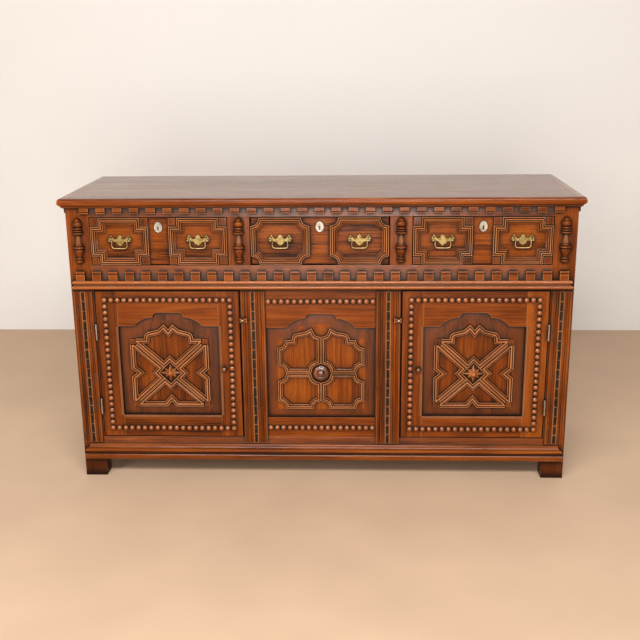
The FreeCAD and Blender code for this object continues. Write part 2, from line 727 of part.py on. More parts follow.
def make_carcase():
    """Posts, rails, dividers, muntins, ends and back, tenoned together."""
    frieze, frieze_tenon = front_rail("frieze_rail", drawer_top, case_top)
    waist, waist_tenon = front_rail("waist_rail", door_top, waist_top)
    base, base_tenon = front_rail("base_rail", S.foot_height, base_top)
    divider, divider_foot, divider_head = stubbed(
        "left_divider", (-divider_out, -divider_in), waist_top, drawer_top)
    muntin, muntin_foot, muntin_head = stubbed(
        "left_muntin", (-muntin_out, -muntin_in), base_top, door_top)
    twins = [mirrored(f"{item.Label}_right", item)
             for item in (divider_foot, divider_head, muntin_foot, muntin_head)]
    floor_rebate = block(
        "base_rail_rebate", (-post_in, post_in), (rail_back - S.floor_seat, rail_back), (floor_low, base_top))
    node(group(
        "front_rails",
        cut("frieze_rail", frieze, divider_head, twins[1]),
        cut("waist_rail", waist, divider_foot, twins[0], muntin_head, twins[3]),
        cut("base_rail", base, muntin_foot, twins[2], floor_rebate),
    ))
    pair("drawer_dividers", divider)
    groove = panel_groove(
        "muntin_groove", (-muntin_in - S.panel_tongue, -muntin_in), (base_top, door_top), front)
    pair("door_muntins", cut("left_muntin", muntin, groove))

    low_top = S.foot_height + S.side_low_rail_height
    mid_low = waist_top - S.side_mid_rail_height
    high_low = case_top - S.side_top_rail_height
    tops = side_rail("side_top_rail", high_low, case_top)
    mids = side_rail("side_mid_rail", mid_low, waist_top)
    lows = side_rail("side_low_rail", S.foot_height, low_top)
    grooves = [
        side_groove("side_upper_groove", waist_top, high_low),
        side_groove("side_lower_groove", low_top, mid_low),
    ]
    left_rails = group("left_side_rails", *[
        cut(label, rails[0], *grooves)
        for label, rails in (("side_top_rail", tops), ("side_mid_rail", mids), ("side_low_rail", lows))
    ])
    pair("side_rails", left_rails)
    pair("side_panels", group(
        "left_side_panels",
        side_panel("side_upper_panel", waist_top, high_low),
        side_panel("side_lower_panel", low_top, mid_low),
    ))

    back_high, back_high_tenon = rear_rail("rear_top_rail", case_top - S.side_mid_rail_height, case_top)
    back_mid, back_mid_tenon = rear_rail("rear_mid_rail", mid_low, waist_top)
    back_low, back_low_tenon = rear_rail("rear_low_rail", S.foot_height, floor_low)

    hinge_beds = [hinge_bed(f"post_hinge_bed_{name}", rise, (-post_in - S.hinge_leaf, -post_in), front)
                  for name, rise in (("low", S.hinge_low), ("high", S.hinge_high))]
    post_height = (sized(0), case_top)
    front_post = block("left_front_post", (-half_case, -post_in), (front, post_back), post_height)
    pair("front_posts", cut(
        "left_front_post_cut", front_post, frieze_tenon, waist_tenon, base_tenon,
        tops[1], mids[1], lows[1], *grooves, *hinge_beds))
    rear_post = block("left_rear_post", (-half_case, -post_in), (rear_post_front, back), post_height)
    left_rear_post = cut(
        "left_rear_post_cut", rear_post, back_high_tenon, back_mid_tenon, back_low_tenon,
        tops[2], mids[2], lows[2], *grooves)
    node(group(
        "rear_frame", left_rear_post, mirrored("right_rear_post", left_rear_post),
        back_high, back_mid, back_low))
    width = 2 * post_in / S.back_board_count
    boards = [
        block(
            f"back_board_{number + 1}",
            (number * width - post_in, (number + 1) * width - post_in),
            (board_front, back),
            (S.foot_height, case_top),
        )
        for number in range(int(S.back_board_count.value))
    ]
    node(group("back_boards", *boards))


def side_groove(label, low, high):
    """Groove of an end panel, open to its rails and posts."""
    outer = S.side_panel_inset - half_case
    return block(
        label,
        (outer, outer + S.panel_thickness),
        (post_back - S.panel_tongue, rear_post_front + S.panel_tongue),
        (low - S.panel_tongue, high + S.panel_tongue),
    )


def side_panel(label, low, high):
    """A fielded panel of the left end, loose in its groove."""
    outer = S.side_panel_inset - half_case
    edge = S.panel_tongue - S.panel_float
    plate = block(
        f"{label}_edge",
        (outer, outer + S.panel_thickness),
        (post_back - edge, rear_post_front + edge),
        (low - edge, high + edge),
    )
    gap = float(S.panel_float)
    bevel = float(S.side_panel_bevel)
    near, far = float(post_back), float(rear_post_front)
    corners = [(near, float(low)), (far, float(low)), (far, float(high)), (near, float(high))]
    rise = float(S.side_panel_rise)
    face = float(outer)
    rings = mitred_rings(
        corners, [(gap, 0), (bevel, rise)], lambda u, v, lift: Vector(face - lift, u, v), closed=True)
    field = skinned([[ring[step] for ring in rings] for step in range(2)])
    return fuse(label, plate, shaped(f"{label}_field", field))


def hinge_bed(label, rise, x, face):
    """Shallow housing for a hinge leaf."""
    low = base_top + rise
    return block(label, x, (face, front + S.hinge_leaf_depth), (low, low + S.hinge_height))


def make_inside():
    """Cupboard floor on the base rail and cleats, drawer runners and guides."""
    width = 2 * post_in / S.floor_board_count
    height = (floor_low, base_top)
    boards = [
        block(
            f"floor_board_{number + 1}",
            (number * width - post_in, (number + 1) * width - post_in),
            (rail_back - S.floor_seat, board_front),
            height,
        )
        for number in range(int(S.floor_board_count.value))
    ]
    between_posts = (post_back, rear_post_front)
    edge = block("floor_edge_board", (-side_in, -post_in), between_posts, height)
    under_floor = (floor_low - S.cleat, floor_low)
    cleat = block("floor_cleat", (-side_in, S.cleat - side_in), between_posts, under_floor)
    twins = [mirrored(f"{item.Label}_right", item) for item in (edge, cleat)]
    node(group("cupboard_floor", *boards, edge, cleat, *twins))

    length = (rail_back, rear_post_front)
    under = (runner_low, waist_top)
    above = (waist_top, waist_top + S.runner_height)
    pair("drawer_runners", group(
        "left_drawer_runners",
        block("outer_runner", (-post_in, S.runner_width - post_in), length, under),
        block("outer_guide", (-side_in, -post_in), between_posts, (runner_low, above[1])),
        block("inner_runner", (-divider_out - S.runner_width, S.runner_width - divider_in), length, under),
        block("inner_guide", (-divider_out, -divider_in), length, above),
    ))


# Applied mouldings, balusters and pilasters of the case

def returned_moulding(label, setback, out, profile):
    """A front moulding whose ends return to the post; profile is (distance out, height)."""
    face = float(front)
    reach = float(out)
    end = float(half_case - setback) + reach
    path = [(-end, face), (-end, face - reach), (end, face - reach), (end, face)]
    rings = mitred_rings(path, [(reach - away, height) for away, height in profile], level())
    return shaped(label, skinned(rings))


def make_waist_moulding():
    """Two rounds with a groove between, carrying a row of standing dentils."""
    low = float(door_top + S.waist_moulding_rise)
    height = float(S.waist_moulding_height)
    out = float(S.waist_moulding_out)
    profile = [
        (0, low),
        (out * 0.55, low),
        (out * 0.9, low + height * 0.12),
        (out, low + height * 0.28),
        (out * 0.8, low + height * 0.44),
        (out * 0.55, low + height * 0.5),
        (out * 0.55, low + height * 0.6),
        (out * 0.8, low + height * 0.68),
        (out * 0.86, low + height * 0.84),
        (out * 0.68, low + height),
        (0, low + height),
    ]
    setback = S.waist_moulding_setback
    moulding = returned_moulding("waist_moulding_run", setback, S.waist_moulding_out, profile)
    foot = door_top + S.waist_moulding_rise + S.waist_moulding_height
    tall = S.waist_dentil_height
    deep = S.waist_dentil_out
    body = make_body("waist_dentils", y=front)
    steps = int(float(half_case - S.dentil_width / 2) / float(S.dentil_pitch) + 0.5)
    first = S.dentil_pitch * (0.5 - steps) - S.dentil_width / 2
    sketch = outline(body, "waist_dentil", "YZ_Plane", [
        (0, foot),
        (-deep, foot),
        (-deep, foot + tall * 0.46),
        (-deep * 0.62, foot + tall * 0.56),
        (-deep * 0.62, foot + tall * 0.74),
        (-deep * 0.3, foot + tall),
        (0, foot + tall),
    ], lift=first)
    dentil = pad(body, sketch, S.dentil_width)
    row_of(body, dentil, "X_Axis", 2 * steps, S.dentil_pitch * (2 * steps - 1))
    node(group("waist_moulding", moulding, body))


def make_base_moulding():
    """Hollow, round, quirk and a deep lower fillet along the base rail."""
    low = float(S.foot_height)
    height = float(S.base_moulding_height)
    out = float(S.base_moulding_out)
    profile = [
        (0, low),
        (out * 0.92, low),
        (out, low + height * 0.04),
        (out, low + height * 0.3),
        (out * 0.9, low + height * 0.36),
        (out * 0.62, low + height * 0.38),
        (out * 0.62, low + height * 0.45),
        (out * 0.8, low + height * 0.52),
        (out * 0.82, low + height * 0.64),
        (out * 0.62, low + height * 0.72),
        (out * 0.42, low + height * 0.75),
        (out * 0.22, low + height * 0.86),
        (out * 0.16, low + height * 0.97),
        (0, low + height),
    ]
    node(returned_moulding("base_moulding", S.base_moulding_setback, S.base_moulding_out, profile))


def split_baluster(label, x):
    """A turned baluster sawn in half, flat on the face behind it."""
    foot = float(waist_top + S.baluster_rise)
    radius = float(S.baluster_radius)
    height = float(S.baluster_height)
    profile = [
        (radius * 0.1, foot),
        (radius * 0.72, foot + height * 0.035),
        (radius * 0.72, foot + height * 0.075),
        (radius * 0.56, foot + height * 0.1),
        (radius * 0.58, foot + height * 0.19),
        (radius * 0.93, foot + height * 0.31),
        (radius, foot + height * 0.345),
        (radius, foot + height * 0.395),
        (radius * 0.54, foot + height * 0.42),
        (radius * 0.37, foot + height * 0.645),
        (radius * 0.9, foot + height * 0.67),
        (radius * 0.9, foot + height * 0.7),
        (radius * 0.58, foot + height * 0.81),
        (radius * 0.8, foot + height * 0.85),
        (radius * 0.8, foot + height * 0.885),
        (radius * 0.06, foot + height),
    ]
    middle = (float(x), float(front))
    to_space = level()
    rings = [
        [to_space(u, v, rise) for u, v in arc_points(middle, wide, 180, 360, SPLIT_FLAT_COUNT)]
        for wide, rise in profile
    ]
    return shaped(label, skinned(rings))


def make_balusters():
    pair("split_balusters", group(
        "left_split_balusters",
        split_baluster("post_baluster", -(half_case + post_in) / 2),
        split_baluster("divider_baluster", -(divider_out + divider_in) / 2),
    ))


def pilaster(label, x, width, reeds):
    """A reeded strip with a channel down its middle, and the banding of dark blocks let into it."""
    low = base_top - S.pilaster_overlap
    tall = door_top - S.pilaster_top_gap - low
    face = -S.pilaster_thickness
    quirk = face + S.reed_groove
    edge = S.channel_width / 2
    half = [(edge, face + S.channel_depth), (edge, face)]
    for _ in range(reeds):
        start = edge + S.reed_width / 2
        half += [
            (start, face),
            (start, quirk),
            (start + S.reed_width * 0.25, face),
        ]
        edge = edge + S.reed_width
    half += [(width / 2, face), (width / 2, 0)]
    body = make_body(label, x=x, y=front, z=low)
    corners = [(-u, v) for u, v in reversed(half)] + half
    pad(body, outline(body, f"{label}_section", "XY_Plane", corners), tall)

    banding = block(
        f"{label}_banding",
        (x - S.channel_width / 2, x + S.channel_width / 2),
        (pilaster_face + S.channel_depth - S.inlay_thickness, pilaster_face + S.channel_depth),
        (low, low + tall),
    )
    return body, banding


def make_pilasters():
    outer = pilaster("post_pilaster", -(half_case + post_in) / 2, S.post_pilaster_width, 2)
    inner = pilaster("muntin_pilaster", -(muntin_out + muntin_in) / 2, S.muntin_pilaster_width, 3)
    pair("pilasters", group("left_pilasters", outer[0], inner[0]))
    pair("pilaster_inlays", group("left_pilaster_inlays", outer[1], inner[1]))


# Arched frames, fielded panels and what is applied to them


def arch_places(shoulder):
    """Corners of an arched rail's lower edge, right of the middle, from the crown outwards."""
    step_out = S.arch_crown_half + S.arch_step
    sweep_end = step_out + S.arch_sweep
    sweep_top = shoulder + S.arch_sweep_rise
    return (S.arch_crown_half, sweep_top + S.arch_step), (step_out, sweep_top), (sweep_end, shoulder)


def arched_rail(label, x, half, shoulder, high, face, depth):
    """A rail with an arched lower edge: level crown, quarter rounds, sweeps and shoulders."""
    crown, step, sweep = arch_places(shoulder)
    sweep_radius = (S.arch_sweep * S.arch_sweep / S.arch_sweep_rise + S.arch_sweep_rise) / 2
    body = make_body(label, x=x, y=face + depth)
    corners = [
        (-half, shoulder),
        (-sweep[0], shoulder, sweep_radius),
        (-step[0], step[1], S.arch_step),
        (-crown[0], crown[1]),
        (crown[0], crown[1], S.arch_step),
        (step[0], step[1], sweep_radius),
        (sweep[0], shoulder),
        (half, shoulder),
        (half, high),
        (-half, high),
    ]
    pad(body, outline(body, f"{label}_outline", "XZ_Plane", corners), depth)
    return body


def arched_outline(half, low, shoulder, crown, step, sweep):
    """An arched opening or field as points, anticlockwise."""
    return both_halves(
        [(half, low), (half, shoulder)]
        + sweep_points((sweep[0], shoulder), step, 4)
        + sweep_points(step, crown, 2)[1:]
    )


def fielded_panel(label, x, half, low, shoulder, edge_high, face):
    """A panel with a bevelled, arched field, loose in the grooves of its frame."""
    crown, step, sweep = arch_places(shoulder)
    edge = S.panel_tongue - S.panel_float
    groove = face + S.groove_setback
    plate = block(
        f"{label}_edge",
        (x - half - edge, x + half + edge),
        (groove, groove + S.panel_thickness),
        (low - edge, edge_high - S.panel_float),
    )
    gap = float(S.panel_float)
    opening = arched_outline(
        float(half) - gap,
        float(low) + gap,
        float(shoulder) - gap,
        (float(crown[0]) - gap, float(crown[1]) - gap),
        (float(step[0]) - gap, float(step[1]) - gap),
        (float(sweep[0]) - gap, 0),
    )
    reach = float(half - S.bevel_side)
    ledge = float(shoulder - S.bevel_top)
    crest = (float(S.crown_half), ledge + float(S.peak_rise))
    field = both_halves(
        [(reach, float(low + S.bevel_low)), (reach, ledge)] + swept_head(reach, ledge, crest)
    )
    rise = float(S.field_rise)
    to_space = upright(groove)
    rings = [
        [to_space(u + float(x), v, 0) for u, v in opening],
        [to_space(u + float(x), v, rise) for u, v in field],
    ]
    return node(fuse(label, plate, shaped(f"{label}_field", skinned(rings))))


def swept_head(half, shoulder, crest):
    """Right half of a field's head: a sweep beside the level shoulder, then a cove up to the crest."""
    foot = (half - float(S.shoulder_length), shoulder)
    step = (foot[0] - float(S.sweep_run), shoulder + float(S.sweep_rise))
    return sweep_points(foot, step, 4) + cove_points(step, crest, 2)[1:]


def frame_bounds(half, low, shoulder):
    """Half width, foot and shoulder of the frames on a panel's field."""
    margin = S.moulding_margin
    return half - S.bevel_side - margin, low + S.bevel_low + margin, shoulder - S.bevel_top - margin


def strip_profile(width, height):
    """Section of an applied frame moulding from its outer edge: fillet, quirk and ovolo."""
    return [
        (0, 0),
        (0, height * 0.55),
        (width * 0.22, height * 0.42),
        (width * 0.46, height),
        (width, 0),
    ]


def framed(outlines, profile, face):
    """Closed mitred frames, one for each outline."""
    rings = [mitred_rings(path, profile, upright(face), closed=True) for path in outlines]
    return [skinned(ring, closed=True) for ring in rings]


def panel_profile():
    return strip_profile(float(S.panel_moulding_width), float(S.panel_moulding_height))


def door_frame_outlines(half, low, shoulder):
    """Four frames about the boss: their inner edges form a saltire with a square at its middle."""
    gap = float(S.moulding_gap) / 2
    opening = float(S.boss_opening)
    notch = float(S.notch_half)
    depth = float(S.notch_depth)
    upper = opening / (half + shoulder)
    lower = opening / (half + low)
    upper_corner = (half * upper, shoulder * upper)
    lower_corner = (half * lower, -low * lower)
    peak = shoulder + float(S.peak_rise) - float(S.moulding_margin)
    top = both_halves(
        [upper_corner, (half, shoulder)]
        + swept_head(half, shoulder, (notch, peak))
        + [(0, peak - depth)]
    ) + [(0, opening)]
    bottom = [
        (-half, -low),
        (-notch, -low),
        (0, depth - low),
        (notch, -low),
        (half, -low),
        lower_corner,
        (0, -opening),
        (-lower_corner[0], lower_corner[1]),
    ]
    right = [
        (half, -low),
        (half, -notch),
        (half - depth, 0),
        (half, notch),
        (half, shoulder),
        upper_corner,
        (opening, 0),
        lower_corner,
    ]
    left = [(-u, v) for u, v in reversed(right)]
    return [shifted(top, 0, gap), shifted(bottom, 0, -gap), shifted(right, gap, 0), shifted(left, -gap, 0)]


def scooped_frame_outlines(half, low, shoulder):
    """Four frames round the centre boss, with scooped corners where they meet the edges."""
    gap = float(S.moulding_gap) / 2
    boss = float(S.scoop_boss)
    edge = float(S.scoop_edge)
    crown = float(S.scoop_crown)
    chords = SCOOP_CHORD_COUNT
    peak = shoulder + float(S.centre_peak_rise)
    lower = (
        arc_points((0, -low), edge, 90, 0, chords)
        + arc_points((half, -low), edge, 180, 90, chords)
        + arc_points((half, 0), edge, 270, 180, chords)
        + arc_points((0, 0), boss, 0, -90, chords)
    )
    upper = (
        arc_points((0, 0), boss, 90, 0, chords)
        + arc_points((half, 0), edge, 180, 90, chords)
        + arc_points((half, shoulder), edge, 270, 180, chords)
        + swept_head(half, shoulder, (crown, peak))
        + arc_points((0, peak), crown, -45, -90, 2)
    )
    outlines = []
    for path, shift in ((lower, -gap), (upper, gap)):
        outlines.append(shifted(path, gap, shift))
        outlines.append(shifted([(-u, v) for u, v in reversed(path)], -gap, shift))
    return outlines


def bead_strip(start, end, face):
    """A flat strip with half-round beads, from the middle of the first bead to that of the last."""
    pitch = float(S.bead_pitch)
    base = float(S.bead_fillet_height)
    half = float(S.bead_fillet_width) / 2
    length = math.dist(start, end)
    steps = max(1, round(length / pitch))
    along = ((end[0] - start[0]) / length, (end[1] - start[1]) / length)
    strip_path = [(start[0], start[1]), (end[0], end[1])]
    section = [(-half, 0), (-half, base), (half, base), (half, 0)]
    strip = skinned(mitred_rings(strip_path, section, upright(face)))
    beads = []
    for step in range(steps + 1):
        middle = (start[0] + along[0] * length * step / steps, start[1] + along[1] * length * step / steps)
        beads.append(bead(middle, float(face) - base))
    return [strip] + beads


def bead(middle, face):
    """A bead as a faceted half round, seated on its strip."""
    radius = float(S.bead_radius)
    height = float(S.bead_height - S.bead_fillet_height)
    to_space = upright(face)
    foot = [to_space(u, v, 0) for u, v in ring_points(middle, radius, BEAD_FLAT_COUNT)]
    crown = [to_space(*middle, height)] * BEAD_FLAT_COUNT
    return skinned([foot, crown])


def make_centre():
    """The fixed panel between the muntins with its rails, frames, boss and bead rows."""
    low = base_top + S.centre_low_rail
    shoulder = door_top - S.centre_top_rail
    top = arched_rail("centre_top_rail", 0, muntin_in, shoulder, door_top, front, S.rail_depth)
    bottom = block("centre_low_rail", (-muntin_in, muntin_in), (front, rail_back), (base_top, low))
    crown = arch_places(shoulder)[0][1]
    edge_high = crown + S.panel_tongue
    bed = (-muntin_in, muntin_in)
    slot = panel_groove("centre_top_slot", bed, (shoulder, edge_high), front)
    groove = panel_groove("centre_low_groove", bed, (low - S.panel_tongue, low), front)
    node(group("centre_rails", cut("centre_top", top, slot), cut("centre_low", bottom, groove)))
    fielded_panel("centre_panel", sized(0), muntin_in, low, shoulder, edge_high, front)

    field = front + S.groove_setback - S.field_rise
    half, foot, head = frame_bounds(muntin_in, low, shoulder)
    boss_z = (foot + head) / 2 + S.centre_boss_lift
    outlines = scooped_frame_outlines(float(half), float(boss_z - foot), float(head - boss_z))
    outlines = [shifted(path, 0, boss_z) for path in outlines]
    node(shaped("centre_panel_mouldings", Part.Compound(framed(outlines, panel_profile(), field))))

    wide = float(S.centre_boss_radius)
    tall = float(S.centre_boss_height)
    profile = [
        (wide, 0),
        (wide, tall * 0.2),
        (wide * 0.84, tall * 0.46),
        (wide * 0.56, tall * 0.58),
        (wide * 0.46, tall * 0.52),
        (wide * 0.4, tall * 0.74),
        (wide * 0.24, tall * 0.94),
        (0, tall),
    ]
    node(shaped("centre_boss", turned((0, float(boss_z)), profile, upright(field), BOSS_FLAT_COUNT)))

    reach = float(muntin_in - S.bead_radius)
    rows = []
    for height in (float(door_top - S.centre_bead_high), float(base_top + S.centre_bead_low)):
        rows += bead_strip((-reach, height), (reach, height), front)
    node(shaped("centre_beads", Part.Compound(rows)))


# Drawers

def keyhole(label, x, z, y):
    """Room for the key: a round and the slot below it."""
    length = y[1] - y[0]
    return (
        peg(f"{label}_round", "y", S.keyhole_radius, length, x, y[0], z),
        block(
            f"{label}_slot",
            (x - S.keyhole_slot / 2, x + S.keyhole_slot / 2),
            y,
            (z - S.keyhole_drop, z),
        ),
    )


def drawer_box(name, x, front_back):
    """Sides, back and bottom of a drawer; also returns what they cut from its front."""
    low = waist_top + S.drawer_lift
    high = low + S.drawer_side_height
    rear = drawer_face + S.drawer_length
    thick = S.drawer_side_thickness
    side_y = (front_back - S.drawer_lap, rear)
    sides = [
        block(f"{name}_left_side", (x[0], x[0] + thick), side_y, (low, high)),
        block(f"{name}_right_side", (x[1] - thick, x[1]), side_y, (low, high)),
    ]
    inner = (x[0] + thick, x[1] - thick)
    groove = S.drawer_bottom_groove
    floor = low + S.drawer_bottom_rise
    bottom = block(
        f"{name}_bottom",
        (inner[0] - groove, inner[1] + groove),
        (front_back - groove, rear),
        (floor, floor + S.drawer_bottom_thickness),
    )
    rear_board = block(
        f"{name}_back", inner, (rear - thick, rear), (floor + S.drawer_bottom_thickness, high))
    grooved = [cut(f"{side.Label}_grooved", side, bottom) for side in sides]
    node(group(f"{name}_box", *grooved, bottom, rear_board))
    return sides + [bottom]


def drawer_frame_outline(left, right, low, high, scooped):
    """Outline of a moulding frame with scooped or square notched corners."""
    corner = float(S.drawer_corner)
    if scooped:
        return (
            arc_points((left, low), corner, 90, 0, SCOOP_CHORD_COUNT)
            + arc_points((right, low), corner, 180, 90, SCOOP_CHORD_COUNT)
            + arc_points((right, high), corner, 270, 180, SCOOP_CHORD_COUNT)
            + arc_points((left, high), corner, 360, 270, SCOOP_CHORD_COUNT)
        )
    return [
        (left, low + corner), (left + corner, low + corner), (left + corner, low),
        (right - corner, low), (right - corner, low + corner), (right, low + corner),
        (right, high - corner), (right - corner, high - corner), (right - corner, high),
        (left + corner, high), (left + corner, high - corner), (left, high - corner),
    ]


def corner_blocks(left, right, low, high, size, deep, face):
    """Small squares in the four corners of a rectangle."""
    return [
        Part.makeBox(size, deep, size, Vector(u, float(face) - deep, v))
        for u in (left, right - size)
        for v in (low, high - size)
    ]


def drawer_mouldings(name, x, z, scooped):
    """Two moulding frames on a drawer front; returns the middles of the frames."""
    profile = strip_profile(float(S.drawer_moulding_width), float(S.drawer_moulding_height))
    width = (x[1] - x[0] - S.drawer_strip) / 2
    low, high = float(z[0]), float(z[1])
    square = float(S.drawer_corner - S.corner_block_gap)
    deep = float(S.corner_block_height)
    solids = []
    for left in (float(x[0]), float(x[1] - width)):
        right = left + float(width)
        solids += framed([drawer_frame_outline(left, right, low, high, scooped)], profile, drawer_face)
        if not scooped:
            solids += corner_blocks(left, right, low, high, square, deep, drawer_face)
    node(shaped(f"{name}_mouldings", Part.Compound(solids)))
    return x[0] + width / 2, x[1] - width / 2


def back_plate(label, x, z):
    """A plate with a pointed middle and two rising, pierced wings."""
    body = make_body(f"{label}_blank", x=x, y=drawer_face, z=z)
    wide = S.plate_length / 2
    tall = S.plate_height / 2
    right = [
        (0, -tall),
        (wide * 0.29, -tall * 0.55),
        (wide * 0.37, -tall * 0.25),
        (wide * 0.94, -tall * 0.25),
        (wide, tall * 0.17),
        (wide * 0.77, tall * 0.94),
        (wide * 0.51, tall * 0.22),
        (wide * 0.37, tall * 0.22),
        (wide * 0.14, tall * 0.44),
        (wide * 0.24, tall * 0.61),
    ]
    corners = right + [(0, tall)] + [(-u, v) for u, v in reversed(right[1:])]
    pad(body, outline(body, f"{label}_outline", "XZ_Plane", corners), S.plate_thickness)
    piercings = [
        peg(f"{label}_piercing_{name}", "y", S.pierce_radius, S.plate_thickness,
            x + wide * u, drawer_face - S.plate_thickness, z + tall * v)
        for name, u, v in (("left", -0.76, 0.47), ("right", 0.76, 0.47))
    ]
    return cut(label, body, *piercings)


def bail_lugs(label, x, z, axis_y):
    """Two drilled lugs that carry a bail."""
    plate_face = drawer_face - S.plate_thickness
    half = S.lug_size / 2
    drill = S.bail_radius + S.bail_clearance
    lugs = []
    for side in (-1, 1):
        middle = x + side * S.lug_spacing / 2
        lug = block(
            f"{label}_lug_{side + 1}",
            (middle - S.lug_width / 2, middle + S.lug_width / 2),
            (axis_y - half, plate_face),
            (z - half, z + half),
        )
        inner = middle - S.lug_width / 2
        hole = peg(f"{label}_drill_{side + 1}", "x", drill, S.lug_width, inner, axis_y, z)
        lugs.append(cut(f"{label}_drilled_lug_{side + 1}", lug, hole))
    return lugs


def bail(label, x, z, axis_y):
    """A hanging bail: a pin out through each lug, straight arms and a level grip."""
    half = float(S.bail_width) / 2
    pin = half + float(S.bail_pin)
    drop = float(S.bail_drop)
    corner = float(S.bail_corner)
    right = [(half - corner, -drop), (half, corner - drop), (half, 0), (pin, 0)]
    path = [(-u, v) for u, v in reversed(right)] + right
    section = ring_points((0, 0), float(S.bail_radius), PEG_FLAT_COUNT)
    rings = mitred_rings(shifted(path, x, z), section, upright(axis_y))
    return node(shaped(label, skinned(rings)))


def escutcheon(label, x, z, hole):
    """An oval keyhole plate."""
    body = make_body(f"{label}_oval", x=x, y=drawer_face, z=z)
    wide = S.escutcheon_width / 2
    tall = S.escutcheon_height / 2
    corners = [(wide * u, tall * v) for u, v in ring_points((0, 0), 1, TURNING_FLAT_COUNT, 18)]
    pad(body, outline(body, f"{label}_outline", "XZ_Plane", corners), S.plate_thickness)
    return cut(label, body, *hole)


def make_drawer(name, opening, scooped):
    """A drawer between two places, with its front, box, mouldings, brasses and bails."""
    x = (opening[0] + S.drawer_gap, opening[1] - S.drawer_gap)
    z = (waist_top + S.drawer_gap, drawer_top - S.drawer_gap)
    front_back = drawer_face + S.drawer_front_thickness
    let_in = drawer_box(name, x, front_back)
    middle = (x[0] + x[1]) / 2
    key_z = drawer_middle + S.escutcheon_rise
    hole = keyhole(f"{name}_keyhole", middle, key_z, (drawer_face - S.plate_thickness, front_back))
    lock = block(
        f"{name}_lock",
        (middle - S.lock_width / 2, middle + S.lock_width / 2),
        (front_back - S.lock_thickness, front_back),
        (z[1] - S.lock_height, z[1]),
    )
    board = block(f"{name}_board", x, (drawer_face, front_back), z)
    node(cut(f"{name}_front", board, *let_in, lock, *hole))
    handles = drawer_mouldings(name, x, z, scooped)
    plate_z = drawer_middle + S.plate_rise
    axis_y = drawer_face - S.plate_thickness - S.bail_standoff
    brasses = [escutcheon(f"{name}_escutcheon", middle, key_z, hole), lock]
    for side, handle in zip(("left", "right"), handles):
        brasses.append(back_plate(f"{name}_{side}_plate", handle, plate_z))
        brasses += bail_lugs(f"{name}_{side}", handle, plate_z, axis_y)
    node(group(f"{name}_brasses", *brasses))
    for side, handle in zip(("left", "right"), handles):
        bail(f"{name}_bail_{side}", handle, plate_z, axis_y)


# Doors

